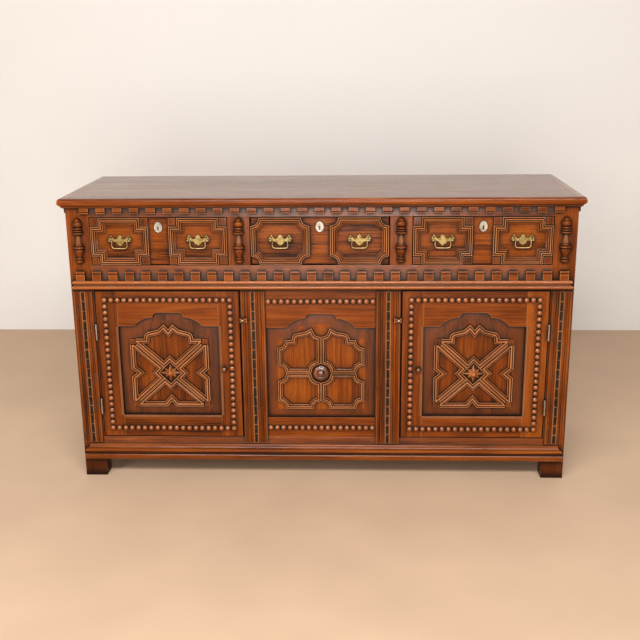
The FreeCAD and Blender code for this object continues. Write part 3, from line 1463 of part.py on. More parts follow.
def make_door():
    """The left door: tenoned frame, fielded panel, frames, boss, beads, knob and hinge leaves."""
    hinge_x = -door_hinge_edge
    free_x = -door_free_edge
    low = door_low + S.door_low_rail
    shoulder = door_high - S.door_top_rail
    inner = (hinge_x + S.stile_width, free_x - S.stile_width)
    middle = (inner[0] + inner[1]) / 2
    half = (inner[1] - inner[0]) / 2
    depth = (door_face, door_back)
    crown = arch_places(shoulder)[0][1]
    edge_high = crown + S.panel_tongue

    tenon_y = (door_face + S.groove_setback, door_face + S.groove_setback + S.panel_thickness)
    tenons = []
    for name, bottom, top in (("low", door_low, low - S.panel_tongue), ("top", edge_high, door_high)):
        height = (bottom + S.tenon_shoulder, top)
        if name == "top":
            height = (bottom, top - S.tenon_shoulder)
        tenons.append((
            tenon(f"door_{name}_hinge_side", (inner[0] - S.tenon_length, inner[0]), tenon_y, height),
            tenon(f"door_{name}_free_side", (inner[1], inner[1] + S.tenon_length), tenon_y, height),
        ))
    bed = (inner[0] - S.panel_tongue, inner[1] + S.panel_tongue)
    groove = panel_groove("door_groove", bed, (low - S.panel_tongue, edge_high), door_face)
    leaf_beds = [hinge_bed(f"door_hinge_bed_{name}", rise, (hinge_x, hinge_x + S.hinge_leaf), door_face)
                 for name, rise in (("low", S.hinge_low), ("high", S.hinge_high))]
    height = (door_low, door_high)
    hinge_stile = block("hinge_stile_bar", (hinge_x, inner[0]), depth, height)
    free_stile = block("free_stile_bar", (inner[1], free_x), depth, height)
    low_rail = block("door_low_rail_bar", inner, depth, (door_low, low))
    top_rail = arched_rail(
        "door_top_rail_bar", middle, half, shoulder, door_high, door_face, S.door_thickness)
    frame = group(
        "door_left_frame",
        cut("hinge_stile", hinge_stile, groove, tenons[0][0], tenons[1][0], *leaf_beds),
        cut("free_stile", free_stile, groove, tenons[0][1], tenons[1][1]),
        fuse("door_low_rail", cut("door_low_rail_grooved", low_rail, groove), *tenons[0]),
        fuse("door_top_rail", cut("door_top_rail_grooved", top_rail, groove), *tenons[1]),
    )
    node(frame)
    panel = fielded_panel("door_left_panel", middle, half, low, shoulder, edge_high, door_face)

    field = door_face + S.groove_setback - S.field_rise
    frame_half, foot, head = frame_bounds(half, low, shoulder)
    boss_z = (foot + head) / 2
    outlines = door_frame_outlines(float(frame_half), float(boss_z - foot), float(head - boss_z))
    frames = framed([shifted(path, middle, boss_z) for path in outlines], panel_profile(), field)
    near, far = float(middle - frame_half), float(middle + frame_half)
    square = float(S.frame_corner)
    gap = float(S.moulding_gap)
    sawn = corner_blocks(
        near - gap, far + gap, float(foot) - gap, float(head) + gap,
        square + gap, float(S.panel_moulding_height), field)
    blocks = corner_blocks(
        near, far, float(foot), float(head),
        square - float(S.corner_block_gap), float(S.corner_block_height), field)
    solids = [solid for item in frames for solid in item.cut(sawn).Solids]
    mouldings = node(shaped("door_left_panel_mouldings", Part.Compound(solids + blocks)))
    boss = node(shaped("door_left_boss", pointed_boss(middle, boss_z, field)))

    inset = float(S.bead_inset)
    left, right = float(hinge_x) + inset, float(free_x) - inset
    bottom, top = float(door_low) + inset, float(door_high) - inset
    step = float(S.bead_pitch)
    beads = []
    for height_at in (bottom, top):
        beads += bead_strip((left, height_at), (right, height_at), door_face)
    for place in (left, right):
        beads += bead_strip((place, bottom + step), (place, top - step), door_face)
    border = node(shaped("door_left_beads", Part.Compound(beads)))

    knob = node(turned_knob("door_left_knob", free_x - S.knob_inset, base_top + S.knob_rise))
    leaves = node(door_leaves(hinge_x))
    for item in (frame, panel, mouldings, boss, border, knob, leaves):
        node(mirrored(item.Label.replace("left", "right"), item))


def pointed_boss(x, z, face):
    """A star of four long and four short ridged points, rising to a button."""
    wide, high = float(S.boss_half_width), float(S.boss_half_height)
    rise = float(S.boss_height)
    button = float(S.boss_button)
    to_space = upright(face)
    place = (float(x), float(z))

    def ring(points, lift):
        return [to_space(place[0] + u, place[1] + v, lift) for u, v in points]

    long_points = ring_points((0, 0), 1, 4)
    short_points = ring_points((0, 0), 0.72, 4, 45)
    valleys = ring_points((0, 0), 0.5, 8, 22.5)
    star = []
    for points in zip(long_points, valleys[0::2], short_points, valleys[1::2]):
        star += [(wide * u, high * v) for u, v in points]
    round_seat = ring_points((0, 0), button, len(star))
    crown = [(u * 0.6, v * 0.6) for u, v in round_seat]
    return skinned([
        ring(star, 0),
        ring(star, rise * 0.25),
        ring(round_seat, rise),
        ring(crown, rise * 1.4),
    ])


def turned_knob(label, x, z):
    """A small turned knob: collar, neck and rounded head."""
    wide = float(S.knob_radius)
    long = float(S.knob_length)
    profile = [
        (wide * 0.8, 0),
        (wide * 0.8, long * 0.12),
        (wide * 0.45, long * 0.3),
        (wide * 0.9, long * 0.55),
        (wide, long * 0.72),
        (wide * 0.7, long * 0.93),
        (0, long),
    ]
    return shaped(label, turned((float(x), float(z)), profile, upright(door_face), TURNING_FLAT_COUNT))


def hinge_places():
    """Foot of each hinge with a name."""
    return (("low", base_top + S.hinge_low), ("high", base_top + S.hinge_high))


def hinge_axis():
    """Plan place of the left door's hinge axis, in the middle of the gap beside the post."""
    return -post_in + S.door_gap / 2, front - S.hinge_out


def door_leaves(edge):
    """Leaves in the door's edge, each with its middle knuckle."""
    x, y = hinge_axis()
    third = S.hinge_height / 3
    ease = S.pin_clearance
    leaves = []
    for name, foot in hinge_places():
        plate = block(
            f"door_leaf_{name}_plate", (edge, edge + S.hinge_leaf),
            (door_face, front + S.hinge_leaf_depth), (foot, foot + S.hinge_height))
        span = (foot + third + ease, foot + 2 * third - ease)
        tab = block(f"door_leaf_{name}_tab", (edge, edge + S.hinge_leaf), (y, door_face), span)
        knuckle = peg(f"door_leaf_{name}_barrel", "z", S.knuckle_radius, span[1] - span[0], x, y, span[0])
        bore = peg(
            f"door_leaf_{name}_bore", "z", S.pin_radius + ease, span[1] - span[0], x, y, span[0],
            BORE_FLAT_COUNT)
        leaves.append(cut(f"door_leaf_{name}", fuse(f"door_leaf_{name}_joined", plate, tab, knuckle), bore))
    return group("door_left_hinge_leaves", *leaves)


def make_frame_leaves():
    """Leaves in the posts, each with its outer knuckles and the pin fixed in them."""
    x, y = hinge_axis()
    third = S.hinge_height / 3
    near = -post_in
    leaves = []
    for name, foot in hinge_places():
        plate = block(
            f"post_leaf_{name}_plate", (near - S.hinge_leaf, near),
            (front, front + S.hinge_leaf_depth), (foot, foot + S.hinge_height))
        parts = [plate, rod(f"post_leaf_{name}_pin", "z", S.pin_radius, S.hinge_height, x, y, foot)]
        for end, low in (("foot", foot), ("head", foot + 2 * third)):
            parts.append(block(
                f"post_leaf_{name}_{end}_tab", (near - S.hinge_leaf, near), (y, front), (low, low + third)))
            parts.append(peg(f"post_leaf_{name}_{end}_barrel", "z", S.knuckle_radius, third, x, y, low))
        leaves.append(fuse(f"post_leaf_{name}", *parts))
    pair("hinge_frame_leaves", group("left_hinge_frame_leaves", *leaves))


# Turn buttons

def make_turn_buttons():
    """Butterfly buttons beside the doors: the short end clears the door, the long end holds it."""
    pivot_x = -door_free_edge + S.button_gap + S.button_short
    pivot_z = base_top + S.button_rise
    seat = pilaster_face - S.button_lift
    body = make_body("turn_button_blank", x=pivot_x, y=seat, z=pivot_z)
    corners = [
        (-S.button_short, -S.button_half),
        (0, -S.button_waist),
        (S.button_long, -S.button_half),
        (S.button_long, S.button_half),
        (0, S.button_waist),
        (-S.button_short, S.button_half),
    ]
    pad(body, outline(body, "turn_button_outline", "XZ_Plane", corners), S.button_thickness)
    hole = peg(
        "turn_button_hole", "y", S.screw_radius + S.screw_clearance, S.button_thickness,
        pivot_x, seat - S.button_thickness, pivot_z, BORE_FLAT_COUNT)
    button = node(cut("turn_button_left", body, hole))
    node(mirrored("turn_button_right", button))
    head_back = seat - S.button_thickness - S.button_lift
    shank = rod(
        "button_screw_shank", "y", S.screw_radius, pilaster_face - head_back, pivot_x, head_back, pivot_z)
    head = peg(
        "button_screw_head", "y", S.screw_head_radius, S.screw_head_height,
        pivot_x, head_back - S.screw_head_height, pivot_z)
    pair("turn_button_screws", fuse("left_turn_button_screw", shank, head))


def make_all():
    make_top()
    make_cornice()
    make_carcase()
    make_inside()
    make_waist_moulding()
    make_base_moulding()
    make_balusters()
    make_pilasters()
    make_centre()
    before = len(nodes)
    make_drawer("drawer_left", (-post_in, -divider_out), scooped=False)
    swapped = {"left": "right", "right": "left"}
    for item in nodes[before:]:
        words = [swapped.get(word, word) for word in item.Label.split("_")]
        node(mirrored("_".join(words), item))
    make_drawer("drawer_centre", (-divider_in, divider_in), scooped=True)
    make_door()
    make_frame_leaves()
    make_turn_buttons()


def check_and_write():
    """Stops on any failed object, then writes one file for each piece."""
    doc.recompute()
    for item in doc.Objects:
        if {"Invalid", "Error"} & set(item.State):
            raise RuntimeError(f"{item.Label} failed: {item.State}")
    for item in nodes:
        shape = item.Shape
        if shape.isNull() or not shape.isValid() or not shape.Solids:
            raise RuntimeError(f"{item.Label} has no valid solid")
    os.makedirs("parts", exist_ok=True)
    for item in nodes:
        item.Shape.exportStep(f"parts/{item.Label}.step")


make_all()
check_and_write()
print(len(nodes), "pieces written")
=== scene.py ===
"""Oak dresser base: worn edges, turned and moulded trim, brasses and finishes over its fixed frame."""

import math
import random
from collections import Counter
from contextlib import contextmanager
from types import SimpleNamespace

import bpy
from bpy.props import FloatProperty, FloatVectorProperty, IntProperty, PointerProperty
from bpy.types import Operator, Panel, PropertyGroup
from mathutils import Matrix, Vector


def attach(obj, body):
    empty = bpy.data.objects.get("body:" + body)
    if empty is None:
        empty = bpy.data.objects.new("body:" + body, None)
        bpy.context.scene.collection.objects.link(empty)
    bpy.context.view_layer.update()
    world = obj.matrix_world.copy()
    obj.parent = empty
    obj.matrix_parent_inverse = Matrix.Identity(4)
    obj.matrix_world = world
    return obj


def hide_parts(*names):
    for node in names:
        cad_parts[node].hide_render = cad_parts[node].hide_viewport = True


bl_info = {
    "name": "Oak Dresser Base",
    "version": (1, 0, 0),
    "blender": (4, 5, 0),
    "location": "View3D > Sidebar > Dresser",
    "description": "Dresses an oak dresser base with its mouldings, turnings, brasses and finishes",
    "category": "Object",
}

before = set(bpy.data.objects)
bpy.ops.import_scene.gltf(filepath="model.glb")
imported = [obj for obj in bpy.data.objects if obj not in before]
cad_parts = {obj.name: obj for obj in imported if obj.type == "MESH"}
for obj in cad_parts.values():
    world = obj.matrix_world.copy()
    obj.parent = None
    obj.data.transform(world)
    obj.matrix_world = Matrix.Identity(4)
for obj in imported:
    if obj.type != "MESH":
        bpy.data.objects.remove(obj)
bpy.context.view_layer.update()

MM = 0.001
WELD = 0.01 * MM
SIDES = ("left", "right")
DRAWERS = ("drawer_left", "drawer_centre", "drawer_right")

# Sections of the moulding frames from their outer edge: share of the width, share of the height,
# and how far it is lightened by wear and painted highlight, below zero where old wax and painted shade
# darken it
PANEL_MOULDING = (
    (0, 0.60, -0.3), (0.03, 0.66, 0.9), (0.12, 0.66, 0.8), (0.16, 0.45, -1), (0.21, 0.42, -1),
    (0.28, 0.70, -0.1), (0.38, 0.95, 0.7), (0.46, 1, 1), (0.54, 0.97, 0.8), (0.62, 0.82, 0.1),
    (0.68, 0.55, -0.8), (0.72, 0.45, -1), (0.77, 0.55, 0.4), (0.83, 0.58, 0.9), (0.89, 0.52, 0.5),
    (0.94, 0.30, -0.6), (1, 0, -1))
DRAWER_MOULDING = (
    (0, 0.06, -1), (0.06, 0.09, -1), (0.075, 0.60, 0.4), (0.09, 0.63, 0.9), (0.14, 0.62, 0.7),
    (0.17, 0.45, -1), (0.21, 0.42, -1), (0.25, 0.65, -0.1), (0.31, 0.91, 0.6), (0.37, 1, 1),
    (0.43, 0.95, 0.6), (0.48, 0.76, -0.1), (0.51, 0.61, -1), (0.55, 0.59, -1), (0.58, 0.72, 0.4),
    (0.63, 0.78, 0.9), (0.68, 0.70, 0.4), (0.72, 0.50, -0.8), (0.77, 0.40, -1), (0.82, 0.36, -0.2),
    (0.88, 0.30, 0), (0.93, 0.20, -0.5), (0.97, 0.14, -0.8), (1, 0, -1))

# Sections of the blocks on the waist and cornice from their seat: share of the depth and of the height
WAIST_BLOCK = (
    (0, 0), (1, 0), (1, 0.64), (0.94, 0.67), (0.70, 0.68), (0.68, 0.74), (0.78, 0.78), (0.90, 0.80),
    (0.90, 0.94), (0.80, 1), (0, 1))
CORNICE_BLOCK = (
    (0, 0), (0.80, 0), (0.92, 0.05), (0.96, 0.14), (0.92, 0.24), (0.72, 0.30), (0.72, 0.36),
    (1, 0.40), (1, 1), (0, 1))

# Section of the bead along a stile, in millimetres: out from the panel and back from the face
STILE_BEAD = (
    (0, 0.6), (0, -0.3), (0.8, -0.9), (1.8, -0.9), (2.6, -0.3), (2.9, 0.05), (4.6, 0.05), (4.9, -0.3),
    (5.7, -0.8), (6.5, -0.8), (7.3, -0.3), (7.3, 0.6))

# Turnings from their seat: share of the radius and of the height
CENTRE_BOSS = (
    (1, 0), (1, 0.14), (0.985, 0.2), (0.95, 0.26), (0.90, 0.36), (0.82, 0.47), (0.70, 0.55),
    (0.58, 0.585), (0.5, 0.58), (0.46, 0.55), (0.43, 0.58), (0.42, 0.68), (0.38, 0.80), (0.30, 0.90),
    (0.18, 0.97), (0, 1))
DOOR_KNOB = (
    (0.80, 0), (0.80, 0.08), (0.74, 0.13), (0.52, 0.18), (0.46, 0.26), (0.46, 0.34), (0.60, 0.42),
    (0.84, 0.5), (0.97, 0.6), (1, 0.7), (0.95, 0.8), (0.80, 0.9), (0.52, 0.97), (0, 1))
BALUSTER_FOOT = (
    (0, 0), (0.35, 0.004), (0.6, 0.016), (0.70, 0.036), (0.72, 0.052), (0.68, 0.07), (0.5, 0.08),
    (0.46, 0.088), (0.64, 0.094), (0.70, 0.105), (0.70, 0.118), (0.62, 0.128), (0.5, 0.134))
BALUSTER_CUP = (
    (0.5, 0.15), (0.54, 0.17), (0.6, 0.19), (0.72, 0.22), (0.82, 0.255), (0.88, 0.285), (0.86, 0.305),
    (0.74, 0.316), (0.66, 0.32), (0.9, 0.328), (1, 0.338), (1, 0.362), (0.92, 0.372), (0.72, 0.38),
    (0.6, 0.386), (0.7, 0.392), (0.7, 0.402), (0.56, 0.412), (0.52, 0.425))
BALUSTER_NECK = (
    (0.51, 0.44), (0.48, 0.49), (0.44, 0.55), (0.40, 0.6), (0.39, 0.622), (0.5, 0.63), (0.86, 0.638),
    (0.94, 0.648), (0.94, 0.668), (0.84, 0.676), (0.62, 0.682), (0.72, 0.69), (0.8, 0.7), (0.8, 0.712),
    (0.7, 0.72), (0.6, 0.726))
BALUSTER_HEAD = (
    (0.72, 0.74), (0.8, 0.752), (0.78, 0.768), (0.66, 0.778), (0.58, 0.784), (0.74, 0.8), (0.86, 0.82),
    (0.88, 0.845), (0.82, 0.875), (0.7, 0.9), (0.56, 0.908), (0.6, 0.918), (0.52, 0.94), (0.36, 0.965),
    (0.18, 0.985), (0, 1))
BALUSTER = BALUSTER_FOOT + BALUSTER_CUP + BALUSTER_NECK + BALUSTER_HEAD
FLUTES = (0.43, 0.635)

# Half of a bail from a post to its middle, in millimetres: out from the middle and up from its axis
BAIL = (
    (25.3, 0), (24.2, -0.5), (23.4, -2), (23.1, -5), (23.3, -9), (23.6, -13), (23.2, -17.5),
    (21.4, -21.3), (17.6, -23.4), (11, -23.9), (0, -24.1))

# Lamps: place, size, watts and tint
LAMPS = {
    "key_lamp": ((-2.7, -3.7, 1.9), (1.4, 1.4), 72, (1.0, 0.96, 0.91)),
    "soft_lamp": ((0.2, -3.3, 3.0), (3.4, 0.7), 182, (1.0, 0.97, 0.94)),
    "window_lamp": ((0.0, -4.7, 0.72), (1.7, 1.4), 96, (1.0, 0.96, 0.91)),
}
LAMP_AIM = Vector((0, 0, 0.5))


# Settings


def colour(name, description, default):
    return FloatVectorProperty(
        name=name, description=description, default=default, subtype="COLOR", size=3, min=0, max=1)


def length(name, description, default):
    return FloatProperty(name=name, description=description, default=default, unit="LENGTH", min=0)


def angle(name, description, degrees):
    return FloatProperty(
        name=name, description=description, default=math.radians(degrees), subtype="ANGLE")


class DresserWood(PropertyGroup):
    """Colours and polish of the oak."""

    dark: colour("Dark grain", "Colour of the late wood and pores", (0.022, 0.0048, 0.0008))
    middle: colour("Middle grain", "Main colour of the polished oak", (0.158, 0.032, 0.0026))
    light: colour("Light grain", "Colour of the early wood", (0.29, 0.074, 0.0075))
    # Old wax, also the colour of painted shade in shut-in corners, creases, moulding hollows, gaps and
    # low on the case
    wax: colour("Old wax", "Colour of the wax and dirt left in corners", (0.008, 0.0032, 0.0016))
    field: colour("Field", "Main colour of the drawer fields", (0.205, 0.044, 0.0035))
    # Worn edges, also the colour of painted highlight on outer edges and moulding crests, and the light
    # tone of the bosses
    rubbed: colour("Rubbed edge", "Colour of edges worn by hands", (0.62, 0.27, 0.11))
    # Painted shade: the sloping panel margins are given a darker colour than the field
    margin: colour("Margin", "Colour of the sloping margins of the panels", (0.112, 0.0240, 0.0025))
    # Faded top with painted sheen: the pale, greyish grain stands in for the glare on the top
    top_pale_and_sheen: colour("Top light grain", "Light grain of the faded top", (0.35, 0.165, 0.078))
    raw: colour("Bare oak", "Colour of the oak inside the case", (0.27, 0.15, 0.072))
    ebony: colour("Dark inlay", "Colour of the inlaid blocks", (0.010, 0.0055, 0.0035))
    holly: colour("Light stringing", "Colour of the lines beside the blocks", (0.16, 0.06, 0.016))
    gloss: FloatProperty(
        name="Roughness", description="Roughness of the wax polish", default=0.24, min=0, max=1)
    soft_edge: length("Worn edge", "Rounding of the worn posts and rails", 1.8 * MM)


class DresserBrass(PropertyGroup):
    """Colours of the handles, keyhole plates and hinges."""

    bright: colour("Bright brass", "Colour of the polished posts and bails", (0.50, 0.38, 0.17))
    plate: colour("Plate brass", "Colour of the back plates", (0.27, 0.20, 0.075))
    dull: colour("Dull brass", "Colour of the tarnish", (0.12, 0.062, 0.018))
    pale: colour("Pale brass", "Colour of the keyhole plates", (0.30, 0.28, 0.235))
    hinge: colour("Hinge brass", "Colour of the hinge knuckles", (0.40, 0.355, 0.29))
    wire: length("Wire", "Radius of the wire of a bail", 1.7 * MM)
    post: length("Post", "Radius of the round head of a bail's post", 4 * MM)


class DresserTrim(PropertyGroup):
    """Sizes of the turned and reeded trim."""

    bead_sides: IntProperty(name="Bead sides", description="Sides of a bead", default=12, min=6, max=24)
    bead_radius: length("Bead radius", "Radius of a half-round bead", 8.4 * MM)
    reed_width: length("Reed width", "Width of a reed on a pilaster", 8 * MM)
    reed_depth: length("Reed depth", "Depth of the quirks between reeds", 2 * MM)
    door_strip: length("Door moulding", "Width of the moulding frames on the doors", 17.5 * MM)
    centre_strip: length(
        "Centre moulding", "Width of the moulding frames on the centre panel", 15.5 * MM)
    drawer_strip: length("Drawer moulding", "Width of the moulding frames on the drawers", 23 * MM)
    channel: length("Channel", "Width of the inlaid channel of a pilaster", 11.5 * MM)
    inlay_count: IntProperty(
        name="Inlaid blocks", description="Blocks in a pilaster", default=16, min=1)
    inlay_line: length("Inlay line", "Light line between two inlaid blocks", 2.4 * MM)
    turning_steps: IntProperty(
        name="Turning steps", description="Steps round a turning", default=32, min=8)
    rim: length("Rim", "Rounding round the face of a door or drawer", 3 * MM)


class DresserStage(PropertyGroup):
    """Floor, wall and camera."""

    floor: colour("Floor", "Colour of the pale floor", (0.645, 0.455, 0.31))
    wall: colour("Wall", "Colour of the wall", (0.765, 0.745, 0.725))
    wall_place: length("Wall place", "Distance of the wall behind the middle", 1.44)
    camera_place: FloatVectorProperty(
        name="Camera place", description="Place of the camera", default=(0.1151, -3.1223, 1.3507),
        subtype="TRANSLATION", unit="LENGTH")
    camera_yaw: angle("Yaw", "Turn of the camera to the right", -2.32374)
    camera_pitch: angle("Pitch", "Tilt of the camera below level", 15.89772)
    camera_roll: angle("Roll", "Lean of the camera", -0.58769)
    lens: FloatProperty(
        name="Lens", description="Focal length of the camera", default=54.107, unit="CAMERA", min=1)


# Finishes


class Value:
    """The value of a socket, used in sums as a number is."""

    def __init__(self, finish, socket):
        self.finish = finish
        self.socket = socket

    def __add__(self, other):
        return self.finish.maths("ADD", self, other)

    __radd__ = __add__

    def __sub__(self, other):
        return self.finish.maths("SUBTRACT", self, other)

    def __rsub__(self, other):
        return self.finish.maths("SUBTRACT", other, self)

    def __mul__(self, other):
        return self.finish.maths("MULTIPLY", self, other)

    __rmul__ = __mul__


class Finish:
    """A material that is described one node at a time."""

    def __init__(self, name):
        self.material = bpy.data.materials.new(name)
        self.material.use_nodes = True
        self.tree = self.material.node_tree
        self.shader = self.tree.nodes["Principled BSDF"]

    def node(self, kind, sockets=None, output=0, stops=None, **settings):
        """Adds a node with its settings, then the values or links of its sockets."""
        made = self.tree.nodes.new(kind)
        for name, value in settings.items():
            setattr(made, name, value)
        if stops:
            elements = made.color_ramp.elements
            while len(elements) < len(stops):
                elements.new(1)
            for element, (position, shade) in zip(elements, stops):
                element.position = position
                element.color = (*shade, 1)
        for name, value in (sockets or {}).items():
            self.feed(made.inputs[name], value)
        return Value(self, made.outputs[output])

    def feed(self, socket, value):
        if isinstance(value, Value):
            self.tree.links.new(value.socket, socket)
        elif socket.type == "RGBA":
            socket.default_value = (*value[:3], 1)
        else:
            socket.default_value = value

    def maths(self, operation, first, second):
        return self.node("ShaderNodeMath", {0: first, 1: second}, operation=operation)

    def blend(self, share, first, second):
        """Mixes two colours, whose sockets come after those for numbers and vectors."""
        return self.node("ShaderNodeMix", {0: share, 6: first, 7: second}, 2, data_type="RGBA")

    def mask(self, value, low, high):
        """Takes a value from 0 at low to 1 at high."""
        return self.node("ShaderNodeMapRange", {"Value": value, "From Min": low, "From Max": high})

    def noise(self, place, scale, detail=2, warp=0):
        """Soft marks, so many to a metre along each axis."""
        stretched = self.node("ShaderNodeMapping", {"Vector": place, "Scale": scale})
        sockets = {"Vector": stretched, "Scale": 1, "Detail": detail, "Distortion": warp}
        return self.node("ShaderNodeTexNoise", sockets)

    def corners(self, reach, **settings):
        """How far a place is shut in by what stands round it."""
        sockets = {"Distance": reach}
        return 1 - self.node("ShaderNodeAmbientOcclusion", sockets, "AO", samples=6, **settings)

    def edges(self, reach):
        """How near a place is to an outer edge."""
        return self.corners(reach, inside=True, only_local=True)

    def bumped(self, height, distance, strength):
        sockets = {"Height": height, "Distance": distance, "Strength": strength}
        self.feed(self.shader.inputs["Normal"], self.node("ShaderNodeBump", sockets))

    def one_sided(self):
        """Shows the surface from its front alone."""
        back = self.node("ShaderNodeNewGeometry", output="Backfacing")
        clear = self.node("ShaderNodeBsdfTransparent")
        lit = Value(self, self.shader.outputs[0])
        shown = self.node("ShaderNodeMixShader", {0: back, 1: lit, 2: clear})
        self.feed(self.tree.nodes["Material Output"].inputs["Surface"], shown)

    def surface(self, **sockets):
        """Feeds the shader's own sockets and returns the finished material."""
        for name, value in sockets.items():
            self.feed(self.shader.inputs[name.replace("_", " ").title()], value)
        return self.material


def oak(
        name, along, tones, gloss, wax=0.94, coat=0.06, wear=2.4 * MM, rub=0.35, shine=0.1, spread=0.22,
        reach=30 * MM, fill=0.30):
    """Waxed oak with its grain along one axis; each member's own grain comes from its shade.

    Old wax and painted shade darken corners that are shut in within reach, fully where they are shut by
    fill, with the strength given for the wax and shade. Edges are lightened over the width of wear by
    rubbing and painted highlight, as far as given for the rub, and moulding crests and hollows by their
    marks. Below about
    95 mm the case is darkened with painted shade. A small spread makes a strong figure.
    """
    wood = bpy.context.scene.dresser_wood
    finish = Finish(name)
    place = finish.node("ShaderNodeTexCoord", output="Object")
    member = finish.node("ShaderNodeAttribute", output="Fac", attribute_name="member")
    moved = {"X": member * 3.1, "Y": member * 5.3, "Z": member * 7.7}
    shift = finish.node("ShaderNodeCombineXYZ", moved)
    laid = finish.node("ShaderNodeVectorMath", {0: place, 1: shift}, operation="ADD")

    def grain(long, across, **how):
        scale = [across] * 3
        scale[along] = long
        return finish.noise(laid, scale, **how)

    figure = grain(1.5, 21, detail=4, warp=1.1)
    streaks = grain(9, 300, detail=3)
    pores = finish.mask(grain(70, 1500, detail=1), 0.60, 0.74)
    clouds = finish.noise(laid, [9] * 3)
    ripple = finish.noise(laid, [38] * 3, detail=1)
    dark, middle, light = tones
    depth = figure * 0.55 + streaks * 0.45 + (member - 0.5) * 0.12 + (clouds - 0.5) * 0.22
    timber = finish.node(
        "ShaderNodeValToRGB", {"Fac": depth},
        stops=((0.5 - spread, dark), (0.5, middle), (0.5 + 1.1 * spread, light)))
    grained = finish.blend(pores * 0.55, timber, dark)
    # Old wax and painted shade: corners and creases that are shut in are darkened towards the wax
    # colour
    creases = finish.mask(finish.corners(4 * MM), 0.10, 0.5)
    shut = finish.maths("MAXIMUM", finish.mask(finish.corners(reach), 0.03, fill), creases)
    # Marks of the moulding sections: above zero, wear and painted highlight on crests; below zero, old
    # wax and painted shade in hollows
    crests = finish.node("ShaderNodeAttribute", output="Fac", attribute_name="rubbed")
    bare = finish.maths("MAXIMUM", crests, 0) * 0.5
    filled_and_shaded = finish.maths("MAXIMUM", crests * -1, 0) * 0.9
    # Worn edges and painted highlight: outer edges and marked crests are lightened towards the rubbed
    # colour, except in creases
    worn_and_highlit = finish.maths("MAXIMUM", finish.mask(finish.edges(wear), 0.12, 0.45) * (1 - creases), bare)
    # Painted shade: below about 95 mm the case is darkened towards the floor
    height = finish.node("ShaderNodeSeparateXYZ", {"Vector": place}, "Z")
    foot = 1 - finish.mask(height, 45 * MM, 95 * MM)
    rubbed = finish.blend(worn_and_highlit * rub * (0.4 + clouds * 1.2), grained, wood.rubbed)
    held_and_shaded = finish.maths("MAXIMUM", shut * wax * (1 - bare), filled_and_shaded)
    waxed = finish.blend(held_and_shaded, rubbed, wood.wax)
    darkened_low = finish.blend(foot * 0.62, waxed, wood.wax)
    finish.bumped(ripple * 0.9 + streaks * 0.45 - pores * 0.35, 0.55 * MM, 0.55)
    finish.shader.inputs["Coat Roughness"].default_value = 0.12
    finish.shader.inputs["Specular IOR Level"].default_value = shine
    return finish.surface(
        base_color=darkened_low,
        roughness=gloss + (clouds - 0.5) * 0.16 + shut * 0.2 - worn_and_highlit * 0.06,
        coat_weight=coat * (1 - shut),
    )


def three_ways(name, tones, gloss, **how):
    """The same oak with its grain along each axis, in the order of the axes."""
    return [oak(f"{name}_grain_{axis}", along, tones, gloss, **how) for along, axis in enumerate("xyz")]


def inlay_wood(name, shade, gloss):
    """Fine inlay wood with a faint upright grain."""
    finish = Finish(name)
    place = finish.node("ShaderNodeTexCoord", output="Object")
    lines = finish.noise(place, (420, 420, 22))
    patches = finish.noise(place, [70] * 3, detail=1)
    # Painted shade: the inlay is darkened where it is shut in, at the corners of the channel
    shut = finish.mask(finish.corners(6 * MM), 0.25, 0.9)
    pale = [min(1, part * 2.2) for part in shade]
    deep = [part * 0.45 for part in shade]
    finish.shader.inputs["Specular IOR Level"].default_value = 0.12
    tinted = finish.blend(finish.mask(lines * 0.6 + patches * 0.4, 0.35, 0.65), deep, pale)
    finish.bumped(lines, 0.2 * MM, 0.4)
    return finish.surface(
        base_color=finish.blend(shut * 0.6, tinted, deep), roughness=gloss + patches * 0.15)


def brass(name, bright, dull, gloss, patchy=0.55):
    """Hand-polished brass, tarnished in its corners and in soft patches."""
    finish = Finish(name)
    place = finish.node("ShaderNodeTexCoord", output="Object")
    patches = finish.noise(place, [130] * 3, detail=3)
    scratches = finish.noise(place, (900, 900, 260))
    shut = finish.mask(finish.corners(5 * MM), 0.30, 0.95)
    tarnish = finish.mask(patches, 0.46, 0.66) * patchy + shut * 0.75
    finish.bumped(patches * 0.7 + scratches * 0.3, 0.25 * MM, 0.35)
    return finish.surface(
        base_color=finish.blend(finish.maths("MINIMUM", tarnish, 1), bright, dull),
        metallic=1,
        roughness=gloss + patches * 0.16 + shut * 0.18,
    )


def stage_finish(name, shade, speckle):
    """Plain matt floor or wall with a faint mottle."""
    finish = Finish(name)
    place = finish.node("ShaderNodeTexCoord", output="Object")
    mottle = finish.noise(place, [3.2] * 3, detail=5)
    deep = [part * (1 - speckle) for part in shade]
    pale = [min(1, part * (1 + speckle)) for part in shade]
    finish.one_sided()
    return finish.surface(
        base_color=finish.blend(finish.mask(mottle, 0.3, 0.7), deep, pale),
        roughness=0.6 + mottle * 0.3)


# Materials that the pieces share, mixed before the first piece
finishes = SimpleNamespace()


# Modelling by hand


def pick(*pieces):
    """Selects these pieces alone, the first of them active."""
    bpy.ops.object.select_all(action="DESELECT")
    for piece in pieces:
        piece.select_set(True)
    bpy.context.view_layer.objects.active = pieces[0]


@contextmanager
def editing(piece, mode="VERT", chosen=False):
    """Edit mode on one piece with everything selected, or with what was chosen before."""
    pick(piece)
    bpy.ops.object.mode_set(mode="EDIT")
    bpy.ops.mesh.select_mode(type=mode)
    if not chosen:
        bpy.ops.mesh.select_all(action="SELECT")
    yield
    bpy.ops.object.mode_set(mode="OBJECT")


def choose(piece, mode, wanted):
    """Selects the corners, edges or faces of a piece that are wanted."""
    with editing(piece, mode):
        bpy.ops.mesh.select_all(action="DESELECT")
    parts = {"VERT": piece.data.vertices, "EDGE": piece.data.edges, "FACE": piece.data.polygons}
    for part in parts[mode]:
        part.select = wanted(part)


